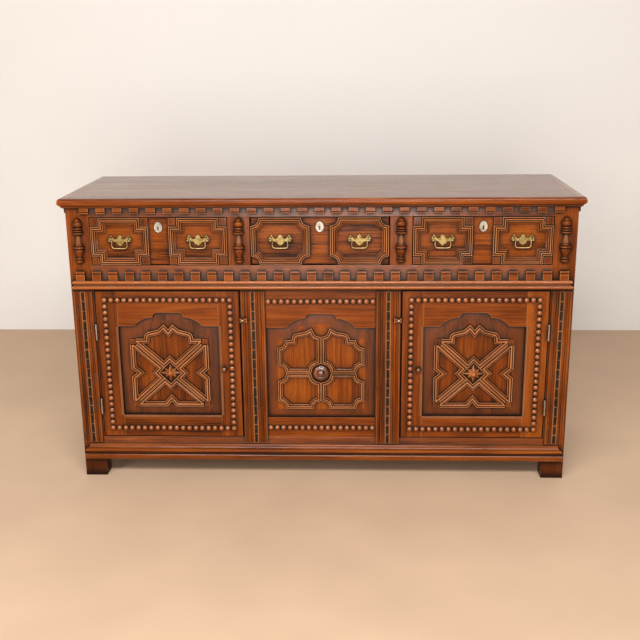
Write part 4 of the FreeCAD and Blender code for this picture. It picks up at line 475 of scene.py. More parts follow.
def apply_place(piece):
    pick(piece)
    bpy.ops.object.transform_apply(location=True, rotation=True, scale=True)


def apply_modifiers(piece):
    pick(piece)
    for modifier in list(piece.modifiers):
        bpy.ops.object.modifier_apply(modifier=modifier.name)


def smooth(piece, degrees=40):
    pick(piece)
    bpy.ops.object.shade_smooth_by_angle(angle=math.radians(degrees))


def soften(piece, width, segments=2):
    """Rounds the worn edges and keeps the flats flat."""
    sharp = 28
    bevel = piece.modifiers.new("worn_edges", "BEVEL")
    bevel.width = width
    bevel.segments = segments
    bevel.limit_method = "ANGLE"
    bevel.angle_limit = math.radians(sharp)
    apply_modifiers(piece)
    smooth(piece)
    piece.modifiers.new("flat_faces", "WEIGHTED_NORMAL").keep_sharp = True
    apply_modifiers(piece)
    return piece


def face_out(piece):
    with editing(piece):
        bpy.ops.mesh.remove_doubles(threshold=WELD)
        bpy.ops.mesh.normals_make_consistent(inside=False)
    return piece


def joined(pieces, name):
    pick(*pieces)
    bpy.ops.object.join()
    piece = bpy.context.object
    piece.name = name
    piece.data.name = name
    return piece


def finished(parts, name, materials):
    """Joins parts that take the same finishes by their grain."""
    for part in parts:
        for material in materials:
            part.data.materials.append(material)
    return joined(parts, name)


def settle(piece, name, body, slot, nodes, *materials):
    """Leaves a finished piece at the origin, on its body, in place of the nodes it stands for."""
    apply_place(piece)
    piece.name = name
    piece.data.name = name
    for material in materials:
        piece.data.materials.append(material)
    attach(piece, body)
    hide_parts(*nodes)
    return piece


def twin(pattern, place, turn=0):
    """A copy of a piece with a mesh of its own, set in its place and turned about its upright."""
    piece = pattern.copy()
    piece.data = pattern.data.copy()
    piece.location = place
    piece.rotation_euler.z = turn
    bpy.context.collection.objects.link(piece)
    return piece


def row(pattern, places):
    """Copies of a piece in all its places; the pattern itself is put away."""
    pieces = [twin(pattern, place) for place in places]
    bpy.data.objects.remove(pattern)
    return pieces


def mark(piece, name, domain, values):
    """Keeps a value for each face or corner of a piece, which its finish reads."""
    piece.data.attributes.new(name, "FLOAT", domain).data.foreach_set("value", values)


def draw_line(places):
    """A chain of edges drawn from place to place."""
    bpy.ops.object.select_all(action="DESELECT")
    bpy.ops.mesh.primitive_plane_add(size=1 * MM, location=places[0])
    piece = bpy.context.object
    with editing(piece):
        bpy.ops.mesh.merge(type="CENTER")
        for near, far in zip(places, places[1:]):
            step = Vector(far) - Vector(near)
            bpy.ops.mesh.extrude_region_move(TRANSFORM_OT_translate={"value": step})
    return piece


def swept(section, run):
    """A section drawn from place to place, filled and drawn out along a run."""
    piece = draw_line(section)
    with editing(piece):
        bpy.ops.mesh.edge_face_add()
        bpy.ops.mesh.extrude_region_move(TRANSFORM_OT_translate={"value": run})
    return face_out(piece)


def turning(profile, middle, axis, steps, sweep=2 * math.pi):
    """Spins a line of places about an axis, and closes what is left open."""
    piece = draw_line(profile)
    with editing(piece):
        bpy.ops.mesh.spin(steps=steps, angle=sweep, center=middle, axis=axis)
    with editing(piece):
        bpy.ops.mesh.remove_doubles(threshold=WELD)
        bpy.ops.mesh.select_all(action="DESELECT")
        bpy.ops.mesh.select_non_manifold()
        bpy.ops.mesh.edge_face_add()
    face_out(piece)
    smooth(piece, 50)
    return piece


def bar(low, high, edge):
    """A squared bar between two corners with its edges eased."""
    bpy.ops.object.select_all(action="DESELECT")
    bpy.ops.mesh.primitive_cube_add(size=1, location=(low + high) / 2, scale=high - low)
    piece = bpy.context.object
    apply_place(piece)
    return soften(piece, edge)


def solids_of(node):
    """The runs of a node's triangles that close on themselves, one for each of its solids."""
    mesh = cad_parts[node].data
    places = [tuple(round(part, 6) for part in vertex.co) for vertex in mesh.vertices]
    waiting = Counter()
    run, runs = [], []
    for polygon in mesh.polygons:
        corners = [places[index] for index in polygon.vertices]
        run.append(corners)
        for near, far in zip(corners, corners[1:] + corners[:1]):
            if waiting[far, near]:
                waiting[far, near] -= 1
            else:
                waiting[near, far] += 1
        waiting = +waiting
        if not waiting:
            runs.append(run)
            run = []
    return runs


def extent(solid):
    """Lowest and highest corner of a solid."""
    corners = [corner for triangle in solid for corner in triangle]
    return Vector(map(min, *corners)), Vector(map(max, *corners))


def solid_boxes(node):
    return [extent(solid) for solid in solids_of(node)]


def copied(node, wanted=None):
    """A copy of a node with whole flats, welded solid by solid.

    Each solid takes the grain of its longest side and a shade of its own.
    """
    shades = random.Random(node)
    places, faces, slots, members = [], [], [], []
    for solid in solids_of(node):
        low, high = extent(solid)
        size = high - low
        shade = shades.random()
        if wanted and not wanted(size):
            continue
        along = max(range(3), key=lambda axis: size[axis])
        known = {}
        for triangle in solid:
            face = []
            for corner in triangle:
                if corner not in known:
                    known[corner] = len(places)
                    places.append(corner)
                face.append(known[corner])
            if len(set(face)) == 3:
                faces.append(face)
                slots.append(along)
                members.append(shade)
    mesh = bpy.data.meshes.new(node)
    mesh.from_pydata(places, [], faces)
    mesh.polygons.foreach_set("material_index", slots)
    piece = bpy.data.objects.new(node, mesh)
    bpy.context.collection.objects.link(piece)
    mark(piece, "member", "FACE", members)
    with editing(piece):
        bpy.ops.mesh.dissolve_limited(angle_limit=math.radians(0.4))
    return piece


def round_over(piece):
    """Rounds the outer edge of the face that a door or drawer shows; its leaning faces go to the slot
    after the oak's, which the callers fill with the near-black strip finish, painted shadow of the gap
    round the face.
    """
    corners = [vertex.co for vertex in piece.data.vertices]
    low = Vector(map(min, *corners))
    high = Vector(map(max, *corners))
    rims = [(axis, limit[axis]) for axis in (0, 2) for limit in (low, high)]

    def outer(edge):
        ends = [piece.data.vertices[index].co for index in edge.vertices]
        on_rim = any(all(abs(end[axis] - place) < WELD for end in ends) for axis, place in rims)
        return on_rim and all(end.y < low.y + WELD for end in ends)

    choose(piece, "EDGE", outer)
    with editing(piece, "EDGE", chosen=True):
        bpy.ops.mesh.bevel(offset=bpy.context.scene.dresser_trim.rim, segments=3)
    # The leaning faces of the rounding take painted shadow of the gap
    for polygon in piece.data.polygons:
        leaning = -0.98 < polygon.normal.y < -0.1
        if leaning:
            polygon.material_index = len(finishes.oak)


def dressed(node, body, slot, materials, edge=None, segments=2):
    """A node's copy with worn edges and its own grain, in the node's place."""
    width = edge or bpy.context.scene.dresser_wood.soft_edge
    piece = soften(copied(node), width, segments)
    return settle(piece, f"{node}_dressed", body, slot, [node], *materials)


def fielded(node, body):
    """A raised panel: the margins that slope back to the frame take a darker finish than the field,
    painted shade on the slopes.
    """
    piece = dressed(node, body, "oak", [finishes.oak[2], finishes.margin], edge=0.8 * MM)
    for polygon in piece.data.polygons:
        slope = max(abs(polygon.normal.x), abs(polygon.normal.z))
        # Painted shade: sloping faces take the darker margin finish
        sloping = polygon.normal.y < -0.9 and slope > 0.1
        polygon.material_index = 1 if sloping else 0
    return piece


def block(wide, deep, tall, section):
    """One block of a toothed moulding, its seat at the origin and its face to the front."""
    piece = swept([(-wide / 2, -deep * out, tall * rise) for out, rise in section], (wide, 0, 0))
    apply_place(piece)
    return soften(piece, 0.6 * MM)


def toothed(node, body, section, materials):
    """A moulding with a row of blocks: one block is made and copied to each of their places."""
    long = 60 * MM
    strips = soften(copied(node, lambda size: max(size) > long), 0.9 * MM, 3)
    for material in materials:
        strips.data.materials.append(material)
    boxes = [box for box in solid_boxes(node) if max(box[1] - box[0]) <= long]
    pattern = block(*(boxes[0][1] - boxes[0][0]), section)
    shades = random.Random(f"{node} blocks")
    teeth = []
    for low, high in boxes:
        middle = (low + high) / 2
        front = high.x - low.x > high.y - low.y
        if front:
            tooth = twin(pattern, (middle.x, high.y, low.z))
        else:
            side = math.copysign(1, middle.x)
            seat = low.x if side > 0 else high.x
            tooth = twin(pattern, (seat, middle.y, low.z), side * math.pi / 2)
        count = len(tooth.data.polygons)
        tooth.data.polygons.foreach_set("material_index", [0 if front else 1] * count)
        mark(tooth, "member", "FACE", [shades.random()] * count)
        teeth.append(tooth)
    bpy.data.objects.remove(pattern)
    blocks = finished(teeth, f"{node}_blocks", finishes.trim)
    piece = joined([strips, blocks], f"{node}_toothed")
    return settle(piece, piece.name, body, "oak_trim", [node])


def turned(node, name, body, profile, steps):
    """A turning that stands out from the front, in the space of its node."""
    low, high = solid_boxes(node)[0]
    middle = (low + high) / 2
    radius = (high.z - low.z) / 2
    tall = high.y - low.y
    line = [(middle.x + radius * wide, high.y - tall * rise, middle.z) for wide, rise in profile]
    piece = turning(line, middle, (0, 1, 0), steps)
    settle(piece, name, body, "oak_trim", [node], finishes.knob)


def turn_at(before, corner, after):
    """Angle turned at a corner of an outline, in degrees, positive to the left."""
    first = (corner[0] - before[0], corner[1] - before[1])
    second = (after[0] - corner[0], after[1] - corner[1])
    across = first[0] * second[1] - first[1] * second[0]
    along = first[0] * second[0] + first[1] * second[1]
    return math.degrees(math.atan2(across, along))


def turns_of(outline):
    return [
        turn_at(outline[index - 1], corner, outline[(index + 1) % len(outline)])
        for index, corner in enumerate(outline)]


def seat_outline(solid):
    """Outer edge of the flat that a frame is glued by, anticlockwise from the front."""
    seat = extent(solid)[1].y
    steps = set()
    for triangle in solid:
        if all(abs(corner[1] - seat) < WELD for corner in triangle):
            steps.update(zip(triangle, triangle[1:] + triangle[:1]))
    follows = {near: far for near, far in sorted(steps) if (far, near) not in steps}
    loops = []
    while follows:
        near, far = follows.popitem()
        loop = [near]
        while far in follows:
            loop.append(far)
            far = follows.pop(far)
        loops.append([(x, z) for x, _, z in reversed(loop)])
    outer = max(loops, key=lambda loop: max(loop)[0] - min(loop)[0])
    return [corner for corner, turn in zip(outer, turns_of(outer)) if abs(turn) > 0.5]


def restored(outline, blocks):
    """Puts back the tips of an outline that were sawn off to let in the corner blocks."""
    reach = 2 * MM

    def let_in(place):
        return [
            index for index, (low, high) in enumerate(blocks)
            if low.x - reach < place[0] < high.x + reach and low.z - reach < place[1] < high.z + reach]

    edges = list(zip(outline, outline[1:] + outline[:1]))
    kept = [edge for edge in edges if not (let_in(edge[0]) and let_in(edge[0]) == let_in(edge[1]))]
    whole = []
    for before, after in zip(kept[-1:] + kept, kept):
        if before[1] == after[0]:
            whole.append(after[0])
        else:
            lines = [Vector(place) for place in (*before, *after)]
            whole.append(tuple(meeting(*lines)))
    return whole


def meeting(first, second, third, fourth):
    """Where two lines meet when both are drawn on past their ends."""
    one = second - first
    other = fourth - third
    share = (third - first).cross(other) / one.cross(other)
    return first + one * share


def rounded(outline):
    """Adds a place at the middle of each chord of a hollow curve, out on the curve."""
    least, most = 5, 40
    turns = turns_of(outline)
    curve = []
    for index, corner in enumerate(outline):
        following = (index + 1) % len(outline)
        far = outline[following]
        curve.append(corner)
        bends = [turn for turn in (turns[index], turns[following]) if least < -turn < most]
        if len(bends) == 2:
            bend = math.radians(sum(bends) / 2)
            out = math.tan(bend / 4) / 2
            along = (far[0] - corner[0], far[1] - corner[1])
            middle = ((corner[0] + far[0]) / 2, (corner[1] + far[1]) / 2)
            curve.append((middle[0] + along[1] * out, middle[1] - along[0] * out))
    return curve


def moulded_frame(solid, profile, width, blocks=()):
    """A frame drawn by its outline and inset step by step to its profile, sawn at its corner blocks."""
    low, high = extent(solid)
    tall = high.y - low.y
    outline = rounded(restored(seat_outline(solid), blocks))
    piece = draw_line([(x, high.y, z) for x, z in outline])
    with editing(piece):
        bpy.ops.mesh.edge_face_add()
    if piece.data.polygons[0].normal.y > 0:
        with editing(piece):
            bpy.ops.mesh.flip_normals()
    with editing(piece, "FACE"):
        reach, lift = 0, 0
        least = WELD / 2
        for across, rise, _ in profile:
            step = max(across * width - reach, least)
            bpy.ops.mesh.inset(thickness=step, depth=rise * tall - lift)
            reach, lift = reach + step, rise * tall
        bpy.ops.mesh.delete(type="FACE")
    with editing(piece):
        bpy.ops.mesh.select_all(action="DESELECT")
        bpy.ops.mesh.select_non_manifold()
        bpy.ops.mesh.bridge_edge_loops()
    if blocks:
        saw(piece, low, high)
    face_out(piece)
    smooth(piece, 35)
    apply_place(piece)
    rub_crests(piece, outline, profile, width, high.y, tall)
    return piece


def rub_crests(piece, outline, profile, width, seat, tall):
    """Marks how far each corner of a frame is lightened on crests by wear and painted highlight, and
    darkened in hollows by old wax and painted shade, by its place in the section.
    """
    sides = [(Vector(near), Vector(far)) for near, far in zip(outline, outline[1:] + outline[:1])]
    rubs = []
    for vertex in piece.data.vertices:
        place = Vector((vertex.co.x, vertex.co.z))
        inward = min(distance(place, *side) for side in sides) / width
        rise = (seat - vertex.co.y) / tall
        nearest = min(profile, key=lambda step: abs(rise - step[1]) + 0.1 * abs(inward - step[0]))
        rubs.append(nearest[2])
    mark(piece, "rubbed", "POINT", rubs)


def hold_wax(piece, share):
    """Marks a piece as dulled all over, by old wax and painted shade."""
    mark(piece, "rubbed", "POINT", [-share] * len(piece.data.vertices))


def distance(place, near, far):
    """How far a place is from a straight side."""
    along = far - near
    share = max(0, min(1, (place - near).dot(along) / along.length_squared))
    return (place - near - along * share).length


def saw(piece, low, high):
    """Saws a frame off square at both ends of its longest side."""
    axis = max((0, 2), key=lambda side: high[side] - low[side])
    kerf = 0.6 * MM
    for end, sign in ((low, -1), (high, 1)):
        face = Vector(end)
        face[axis] -= sign * kerf
        out = Vector((0, 0, 0))
        out[axis] = sign
        with editing(piece):
            bpy.ops.mesh.bisect(plane_co=face, plane_no=out, use_fill=True, clear_outer=True)


def grain_by_member(piece, name):
    """Each straight member of a frame takes the grain of its own run and its own shade."""
    mesh = piece.data
    stations = 12
    slots, members = [], []
    for polygon in mesh.polygons:
        corners = [mesh.vertices[index].co for index in polygon.vertices]
        sides = [far - near for near, far in zip(corners, corners[1:] + corners[:1])]
        run = max(sides, key=lambda side: side.length)
        slots.append(0 if abs(run.x) >= abs(run.z) else 2)
        heading = round(math.degrees(math.atan2(run.z, run.x))) % 180
        station = round(polygon.center.x * stations)
        members.append(random.Random(f"{name} {heading} {station}").random())
    mesh.polygons.foreach_set("material_index", slots)
    mark(piece, "member", "FACE", members)


def moulded(node, body, profile, width, sawn=False):
    """The moulding frames of a node, and its corner blocks."""
    solids = solids_of(node)
    boxes = [extent(solid) for solid in solids]
    blocks = [box for box in boxes if max(box[1] - box[0]) < 3 * width]
    parts = []
    for solid, box in zip(solids, boxes):
        if box in blocks:
            gap = Vector((1.3, 0, 1.3)) * MM
            parts.append(bar(box[0] + gap, box[1] - gap, edge=0.8 * MM))
            # Old wax and painted shade darken the corner blocks
            hold_wax(parts[-1], 0.4)
        else:
            parts.append(moulded_frame(solid, profile, width, blocks if sawn else ()))
    piece = joined(parts, f"{node}_moulded")
    grain_by_member(piece, node)
    return settle(piece, piece.name, body, "oak_trim", [node], *finishes.trim)


# Pieces


class DRESSER_OT_finishes(Operator):
    """Woods and brasses that the pieces share"""

    bl_idname = "dresser.finishes"
    bl_label = "Finishes"

    def execute(self, context):
        self.woods(context.scene.dresser_wood)
        self.metals(context.scene.dresser_brass)
        return {"FINISHED"}

    @staticmethod
    def woods(wood):
        """Oak by the wear of use and by painted light, and the inlay; tones run from the late wood to
        the early wood.
        """
        tones = (wood.dark, wood.middle, wood.light)
        # Painted shade: darker tones for the sloping panel margins
        deep = (wood.dark, wood.margin, wood.middle)
        glowing = (wood.dark, wood.field, wood.light)
        # Faded top with painted sheen
        faded_sheen = (wood.dark, wood.middle, wood.top_pale_and_sheen)
        # Lighter tones with painted highlight, for the waist nosing and the beads
        light_highlit = (wood.middle, wood.light, wood.light)
        # Rubbed tones with painted highlight, for the door bosses
        handled_highlit = (wood.middle, wood.light, wood.rubbed)
        # Near-black tones: painted shade between the beads and painted shadow in the gaps round doors
        # and drawers
        shadowed = (wood.wax, wood.dark, wood.dark)
        raw = (wood.middle, wood.raw, wood.raw)
        polished = wood.gloss - 0.04
        glossy = {"coat": 0.5, "shine": 0.5}
        finishes.oak = three_ways("waxed_oak", tones, wood.gloss)
        finishes.margin = oak("shaded_margin_oak", 2, deep, polished, coat=0.12, rub=0.2, shine=0.25)
        finishes.rail = three_ways("rail_oak", tones, wood.gloss, coat=0.25, shine=0.3)
        finishes.trim = three_ways("moulded_oak", tones, polished, coat=0.1, rub=0.75, shine=0.12)
        # Drawer fronts: the wide reach paints shade over the fields round their mouldings
        finishes.front = three_ways(
            "drawer_oak", glowing, wood.gloss, coat=0.04, shine=0.08, spread=0.14, reach=60 * MM,
            fill=0.17)
        finishes.nosing = three_ways(
            "handled_highlit_oak", light_highlit, polished, wax=0.8, coat=0.4, rub=0.9, shine=0.4)
        finishes.top = three_ways("faded_sheen_top_oak", faded_sheen, wood.gloss - 0.02, shine=0.6, spread=0.16)
        finishes.boss = oak("boss_oak", 2, handled_highlit, polished, wax=0.5, wear=3 * MM, rub=0.9, **glossy)
        finishes.knob = oak("knob_oak", 1, tones, polished, coat=0.7, rub=0.3, shine=0.5)
        finishes.bead = oak("bead_oak", 0, light_highlit, polished, wax=0.8, wear=3.5 * MM, rub=0.7, **glossy)
        finishes.strip = oak("shaded_strip_oak", 0, shadowed, wood.gloss, rub=0)
        finishes.bare = three_ways("bare_oak", raw, 0.62, wax=0.6, coat=0)
        finishes.ebony = inlay_wood("dark_inlay", wood.ebony, 0.32)
        finishes.holly = inlay_wood("light_stringing", wood.holly, 0.36)

    @staticmethod
    def metals(metal):
        finishes.brass = brass("handle_brass", metal.bright, metal.dull, 0.32)
        finishes.plate = brass("plate_brass", metal.plate, metal.dull, 0.36, patchy=0.8)
        finishes.pale = brass("keyhole_brass", metal.pale, metal.dull, 0.34)
        finishes.hinge = brass("hinge_brass", metal.hinge, metal.dull, 0.28)


class DRESSER_OT_carcase(Operator):
    """Posts, rails, ends, back and inside of the case"""

    bl_idname = "dresser.carcase"
    bl_label = "Carcase"

    def execute(self, context):
        dressed("front_rails", "case", "oak", finishes.rail)
        for node in ("front_posts", "drawer_dividers", "door_muntins", "side_rails"):
            dressed(node, "case", "oak", finishes.oak)
        dressed("side_panels", "case", "oak", finishes.oak, edge=0.7 * MM)
        for node in ("rear_frame", "back_boards", "cupboard_floor", "drawer_runners"):
            dressed(node, "case", "oak_inner", finishes.bare, edge=0.8 * MM)
        return {"FINISHED"}


class DRESSER_OT_top(Operator):
    """Boards of the top and their moulded edge"""

    bl_idname = "dresser.top"
    bl_label = "Top"

    def execute(self, context):
        edge = 0.9 * MM
        dressed("top_boards", "case", "oak_top", finishes.top, edge)
        edging = dressed("top_edge_moulding", "case", "oak_top", [*finishes.trim, *finishes.top], edge)
        # Faces that look up take the top's finish with its painted sheen
        for polygon in edging.data.polygons:
            faces_up = polygon.normal.z > 0.7
            if faces_up:
                polygon.material_index += len(finishes.trim)
        return {"FINISHED"}


class DRESSER_OT_mouldings(Operator):
    """Cornice, waist moulding and base moulding"""

    bl_idname = "dresser.mouldings"
    bl_label = "Mouldings"

    def execute(self, context):
        toothed("cornice_moulding", "case", CORNICE_BLOCK, finishes.trim)
        toothed("waist_moulding", "case", WAIST_BLOCK, finishes.nosing)
        dressed("base_moulding", "case", "oak_trim", finishes.trim, edge=0.6 * MM, segments=3)
        return {"FINISHED"}


class DRESSER_OT_balusters(Operator):
    """Split balusters on the posts and dividers"""

    bl_idname = "dresser.balusters"
    bl_label = "Split balusters"

    def execute(self, context):
        boxes = solid_boxes("split_balusters")
        pattern = self.baluster(context.scene.dresser_trim.turning_steps, boxes[0][1] - boxes[0][0])
        places = [((low.x + high.x) / 2, high.y, low.z) for low, high in boxes]
        piece = joined(row(pattern, places), "split_balusters_turned")
        settle(piece, piece.name, "case", "oak_trim", ["split_balusters"], finishes.trim[2])
        return {"FINISHED"}

    @staticmethod
    def baluster(steps, size):
        """Half a turning at the origin, its neck fluted."""
        origin = (0, 0, 0)
        line = [(-size.x / 2 * wide, 0, size.z * rise) for wide, rise in BALUSTER]
        piece = turning(line, origin, (0, 0, 1), steps, -math.pi)
        foot, head = [size.z * share for share in FLUTES]

        def fluted(vertex):
            place = vertex.co + piece.location
            step = round(math.atan2(-place.y, place.x) * steps / math.pi)
            return foot < place.z < head and step % 4 == 2

        choose(piece, "VERT", fluted)
        with editing(piece, chosen=True):
            bpy.ops.transform.resize(value=(0.78, 0.78, 1), center_override=origin)
        smooth(piece, 50)
        apply_place(piece)
        return piece


class DRESSER_OT_pilasters(Operator):
    """Reeded pilasters with their inlaid channels"""

    bl_idname = "dresser.pilasters"
    bl_label = "Pilasters"

    def execute(self, context):
        trim = context.scene.dresser_trim
        strips = [self.strip(trim, low, high) for low, high in solid_boxes("pilasters")]
        piece = joined(strips, "pilasters_reeded")
        settle(piece, piece.name, "case", "oak_trim", ["pilasters"], finishes.oak[2])
        boxes = solid_boxes("pilaster_inlays")
        places = [low - boxes[0][0] for low, high in boxes]
        piece = joined(row(self.blocks(trim, *boxes[0]), places), "inlay_blocks")
        settle(piece, piece.name, "case", "dark_wood", ["pilaster_inlays"], finishes.ebony)
        piece = joined(row(bar(*boxes[0], 0.1 * MM), places), "inlay_stringing")
        settle(piece, piece.name, "case", "oak_trim", ["pilaster_inlays"], finishes.holly)
        return {"FINISHED"}

    @staticmethod
    def strip(trim, low, high):
        """One strip: round reeds beside a channel, flat at its edges."""
        middle = (low.x + high.x) / 2
        half = (high.x - low.x) / 2
        channel = trim.channel / 2
        bed = low.y + 3 * MM
        ease = 0.8 * MM
        margin = 3 * MM
        quirk = 0.2 * MM
        arc = 6
        start = channel + trim.reed_width * 0.34
        line = [
            (channel, bed), (channel, low.y + ease / 2), (channel + ease / 2, low.y), (start, low.y)]
        reeds = int((half - start - margin) // trim.reed_width)
        for reed in range(reeds):
            left = start + reed * trim.reed_width
            for step in range(arc + 1):
                turn = math.pi * step / arc
                across = left + trim.reed_width / 2 * (1 - math.cos(turn))
                line.append((across, low.y + trim.reed_depth * (1 - math.sin(turn))))
        end = start + reeds * trim.reed_width
        line += [(end + quirk, low.y), (half - ease, low.y), (half, low.y + ease), (half, high.y)]
        section = [(middle - u, v) for u, v in reversed(line)] + [(middle + u, v) for u, v in line]
        piece = swept([(u, v, low.z) for u, v in section], (0, 0, high.z - low.z))
        smooth(piece, 35)
        return piece

    @staticmethod
    def blocks(trim, low, high):
        """The row of dark blocks in one channel."""
        pitch = (high.z - low.z) / trim.inlay_count
        inset = 1.1 * MM
        proud = 0.25 * MM
        corner = Vector((low.x + inset, low.y - proud, low.z + trim.inlay_line / 2))
        far = Vector((high.x - inset, high.y, low.z + pitch - trim.inlay_line / 2))
        piece = bar(corner, far, 0.2 * MM)
        run = piece.modifiers.new("run", "ARRAY")
        run.count = trim.inlay_count
        run.use_relative_offset = False
        run.use_constant_offset = True
        run.constant_offset_displace = (0, 0, pitch)
        apply_modifiers(piece)
        return piece


def bead_border(node, name, body):
    """Half-round beads on their strips, one on each of the node's beads."""
    trim = bpy.context.scene.dresser_trim
    parts, places = [], []
    for solid in solids_of(node):
        low, high = extent(solid)
        if max(high - low) > 3 * trim.bead_radius:
            parts.append(bar(low, high, 0.5 * MM))
            # The strip between the beads takes the near-black strip finish: painted shade
            parts[-1].data.materials.append(finishes.strip)
        else:
            corners = [corner for triangle in solid for corner in triangle]
            crown = Vector(min(corners, key=lambda corner: corner[1]))
            places.append((crown.x, high.y, crown.z))
            height = high.y - low.y
    pattern = round_bead(trim, height)
    pattern.data.materials.append(finishes.bead)
    piece = joined(parts + row(pattern, places), name)
    settle(piece, name, body, "oak_trim", [node])


def round_bead(trim, height):
    """One bead at the origin: a ball cut in half, its flat on the strip behind it."""
    bpy.ops.object.select_all(action="DESELECT")
    bpy.ops.mesh.primitive_uv_sphere_add(
        segments=trim.bead_sides, ring_count=8, radius=trim.bead_radius, rotation=(math.pi / 2, 0, 0))
    bead = bpy.context.object
    bead.scale = (1, 1, height / trim.bead_radius)
    apply_place(bead)
    with editing(bead):
        bpy.ops.mesh.bisect(plane_co=(0, 0, 0), plane_no=(0, 1, 0), use_fill=True, clear_outer=True)
    smooth(bead, 60)
    return bead


class DRESSER_OT_centre(Operator):
    """Fixed centre panel with its rails, frames, boss and bead rows"""

    bl_idname = "dresser.centre"
    bl_label = "Centre panel"

    def execute(self, context):
        trim = context.scene.dresser_trim
        dressed("centre_rails", "case", "oak", finishes.oak, edge=1 * MM)
        fielded("centre_panel", "case")
        moulded("centre_panel_mouldings", "case", PANEL_MOULDING, trim.centre_strip)
        turned("centre_boss", "centre_boss_turned", "case", CENTRE_BOSS, trim.turning_steps)
        bead_border("centre_beads", "centre_bead_rows", "case")
        return {"FINISHED"}


class DRESSER_OT_doors(Operator):
    """Doors with their frames, fielded panels, bosses, beads and knobs"""

    bl_idname = "dresser.doors"
    bl_label = "Doors"

    def execute(self, context):
        trim = context.scene.dresser_trim
        for side in SIDES:
            door = f"door_{side}"
            self.framing(door)
            fielded(f"{door}_panel", door)
            moulded(f"{door}_panel_mouldings", door, PANEL_MOULDING, trim.door_strip, sawn=True)
            dressed(f"{door}_boss", door, "oak_trim", [finishes.boss] * 3, edge=0.6 * MM)
            bead_border(f"{door}_beads", f"{door}_bead_border", door)
            turned(f"{door}_knob", f"{door}_knob_turned", door, DOOR_KNOB, trim.turning_steps // 2)
        return {"FINISHED"}

    @staticmethod
    def framing(door):
        """Stiles and rails with a bead worked along the stiles and the low rail, round the panel."""
        node = f"{door}_frame"
        framing = copied(node)
        round_over(framing)
        soften(framing, 0.8 * MM)
        boxes = solid_boxes(node)
        face = boxes[0][0].y
        upright = [box[1].z - box[0].z > box[1].x - box[0].x for box in boxes]
        stiles = sorted((box for box, up in zip(boxes, upright) if up), key=lambda box: box[0].x)
        rails = sorted((box for box, up in zip(boxes, upright) if not up), key=lambda box: box[0].z)
        left, right = stiles[0][1].x, stiles[1][0].x
        sill, shoulder = rails[0][1].z, rails[1][0].z
        parts = [framing]
        for corner, across, run in (
                ((left, sill), (-1, 0), (0, shoulder - sill)),
                ((right, sill), (1, 0), (0, shoulder - sill)),
                ((left, sill), (0, -1), (right - left, 0))):
            section = [
                (corner[0] + across[0] * out * MM, face + back * MM, corner[1] + across[1] * out * MM)
                for out, back in STILE_BEAD]
            bead = swept(section, (run[0], 0, run[1]))
            smooth(bead, 40)
            grain_by_member(bead, node)
            # Old wax and painted shade darken the worked bead beside the panel
            hold_wax(bead, 0.5)
            parts.append(bead)
        # The door's rounded rim takes the near-black strip finish: painted shadow of the gap
        piece = finished(parts, f"{node}_dressed", [*finishes.oak, finishes.strip])
        settle(piece, piece.name, door, "oak", [node])


class DRESSER_OT_drawers(Operator):
    """Drawer fronts, boxes and moulding frames"""

    bl_idname = "dresser.drawers"
    bl_label = "Drawers"

    def execute(self, context):
        strip = context.scene.dresser_trim.drawer_strip
        for drawer in DRAWERS:
            node = f"{drawer}_front"
            front = copied(node)
            round_over(front)
            soften(front, 0.6 * MM)
            # The rounded rim of the front takes the near-black strip finish: painted shadow of the gap
            settle(front, f"{node}_dressed", drawer, "oak", [node], *finishes.front, finishes.strip)
            dressed(f"{drawer}_box", drawer, "oak_inner", finishes.bare, edge=0.7 * MM)
            moulded(f"{drawer}_mouldings", drawer, DRAWER_MOULDING, strip)
        return {"FINISHED"}


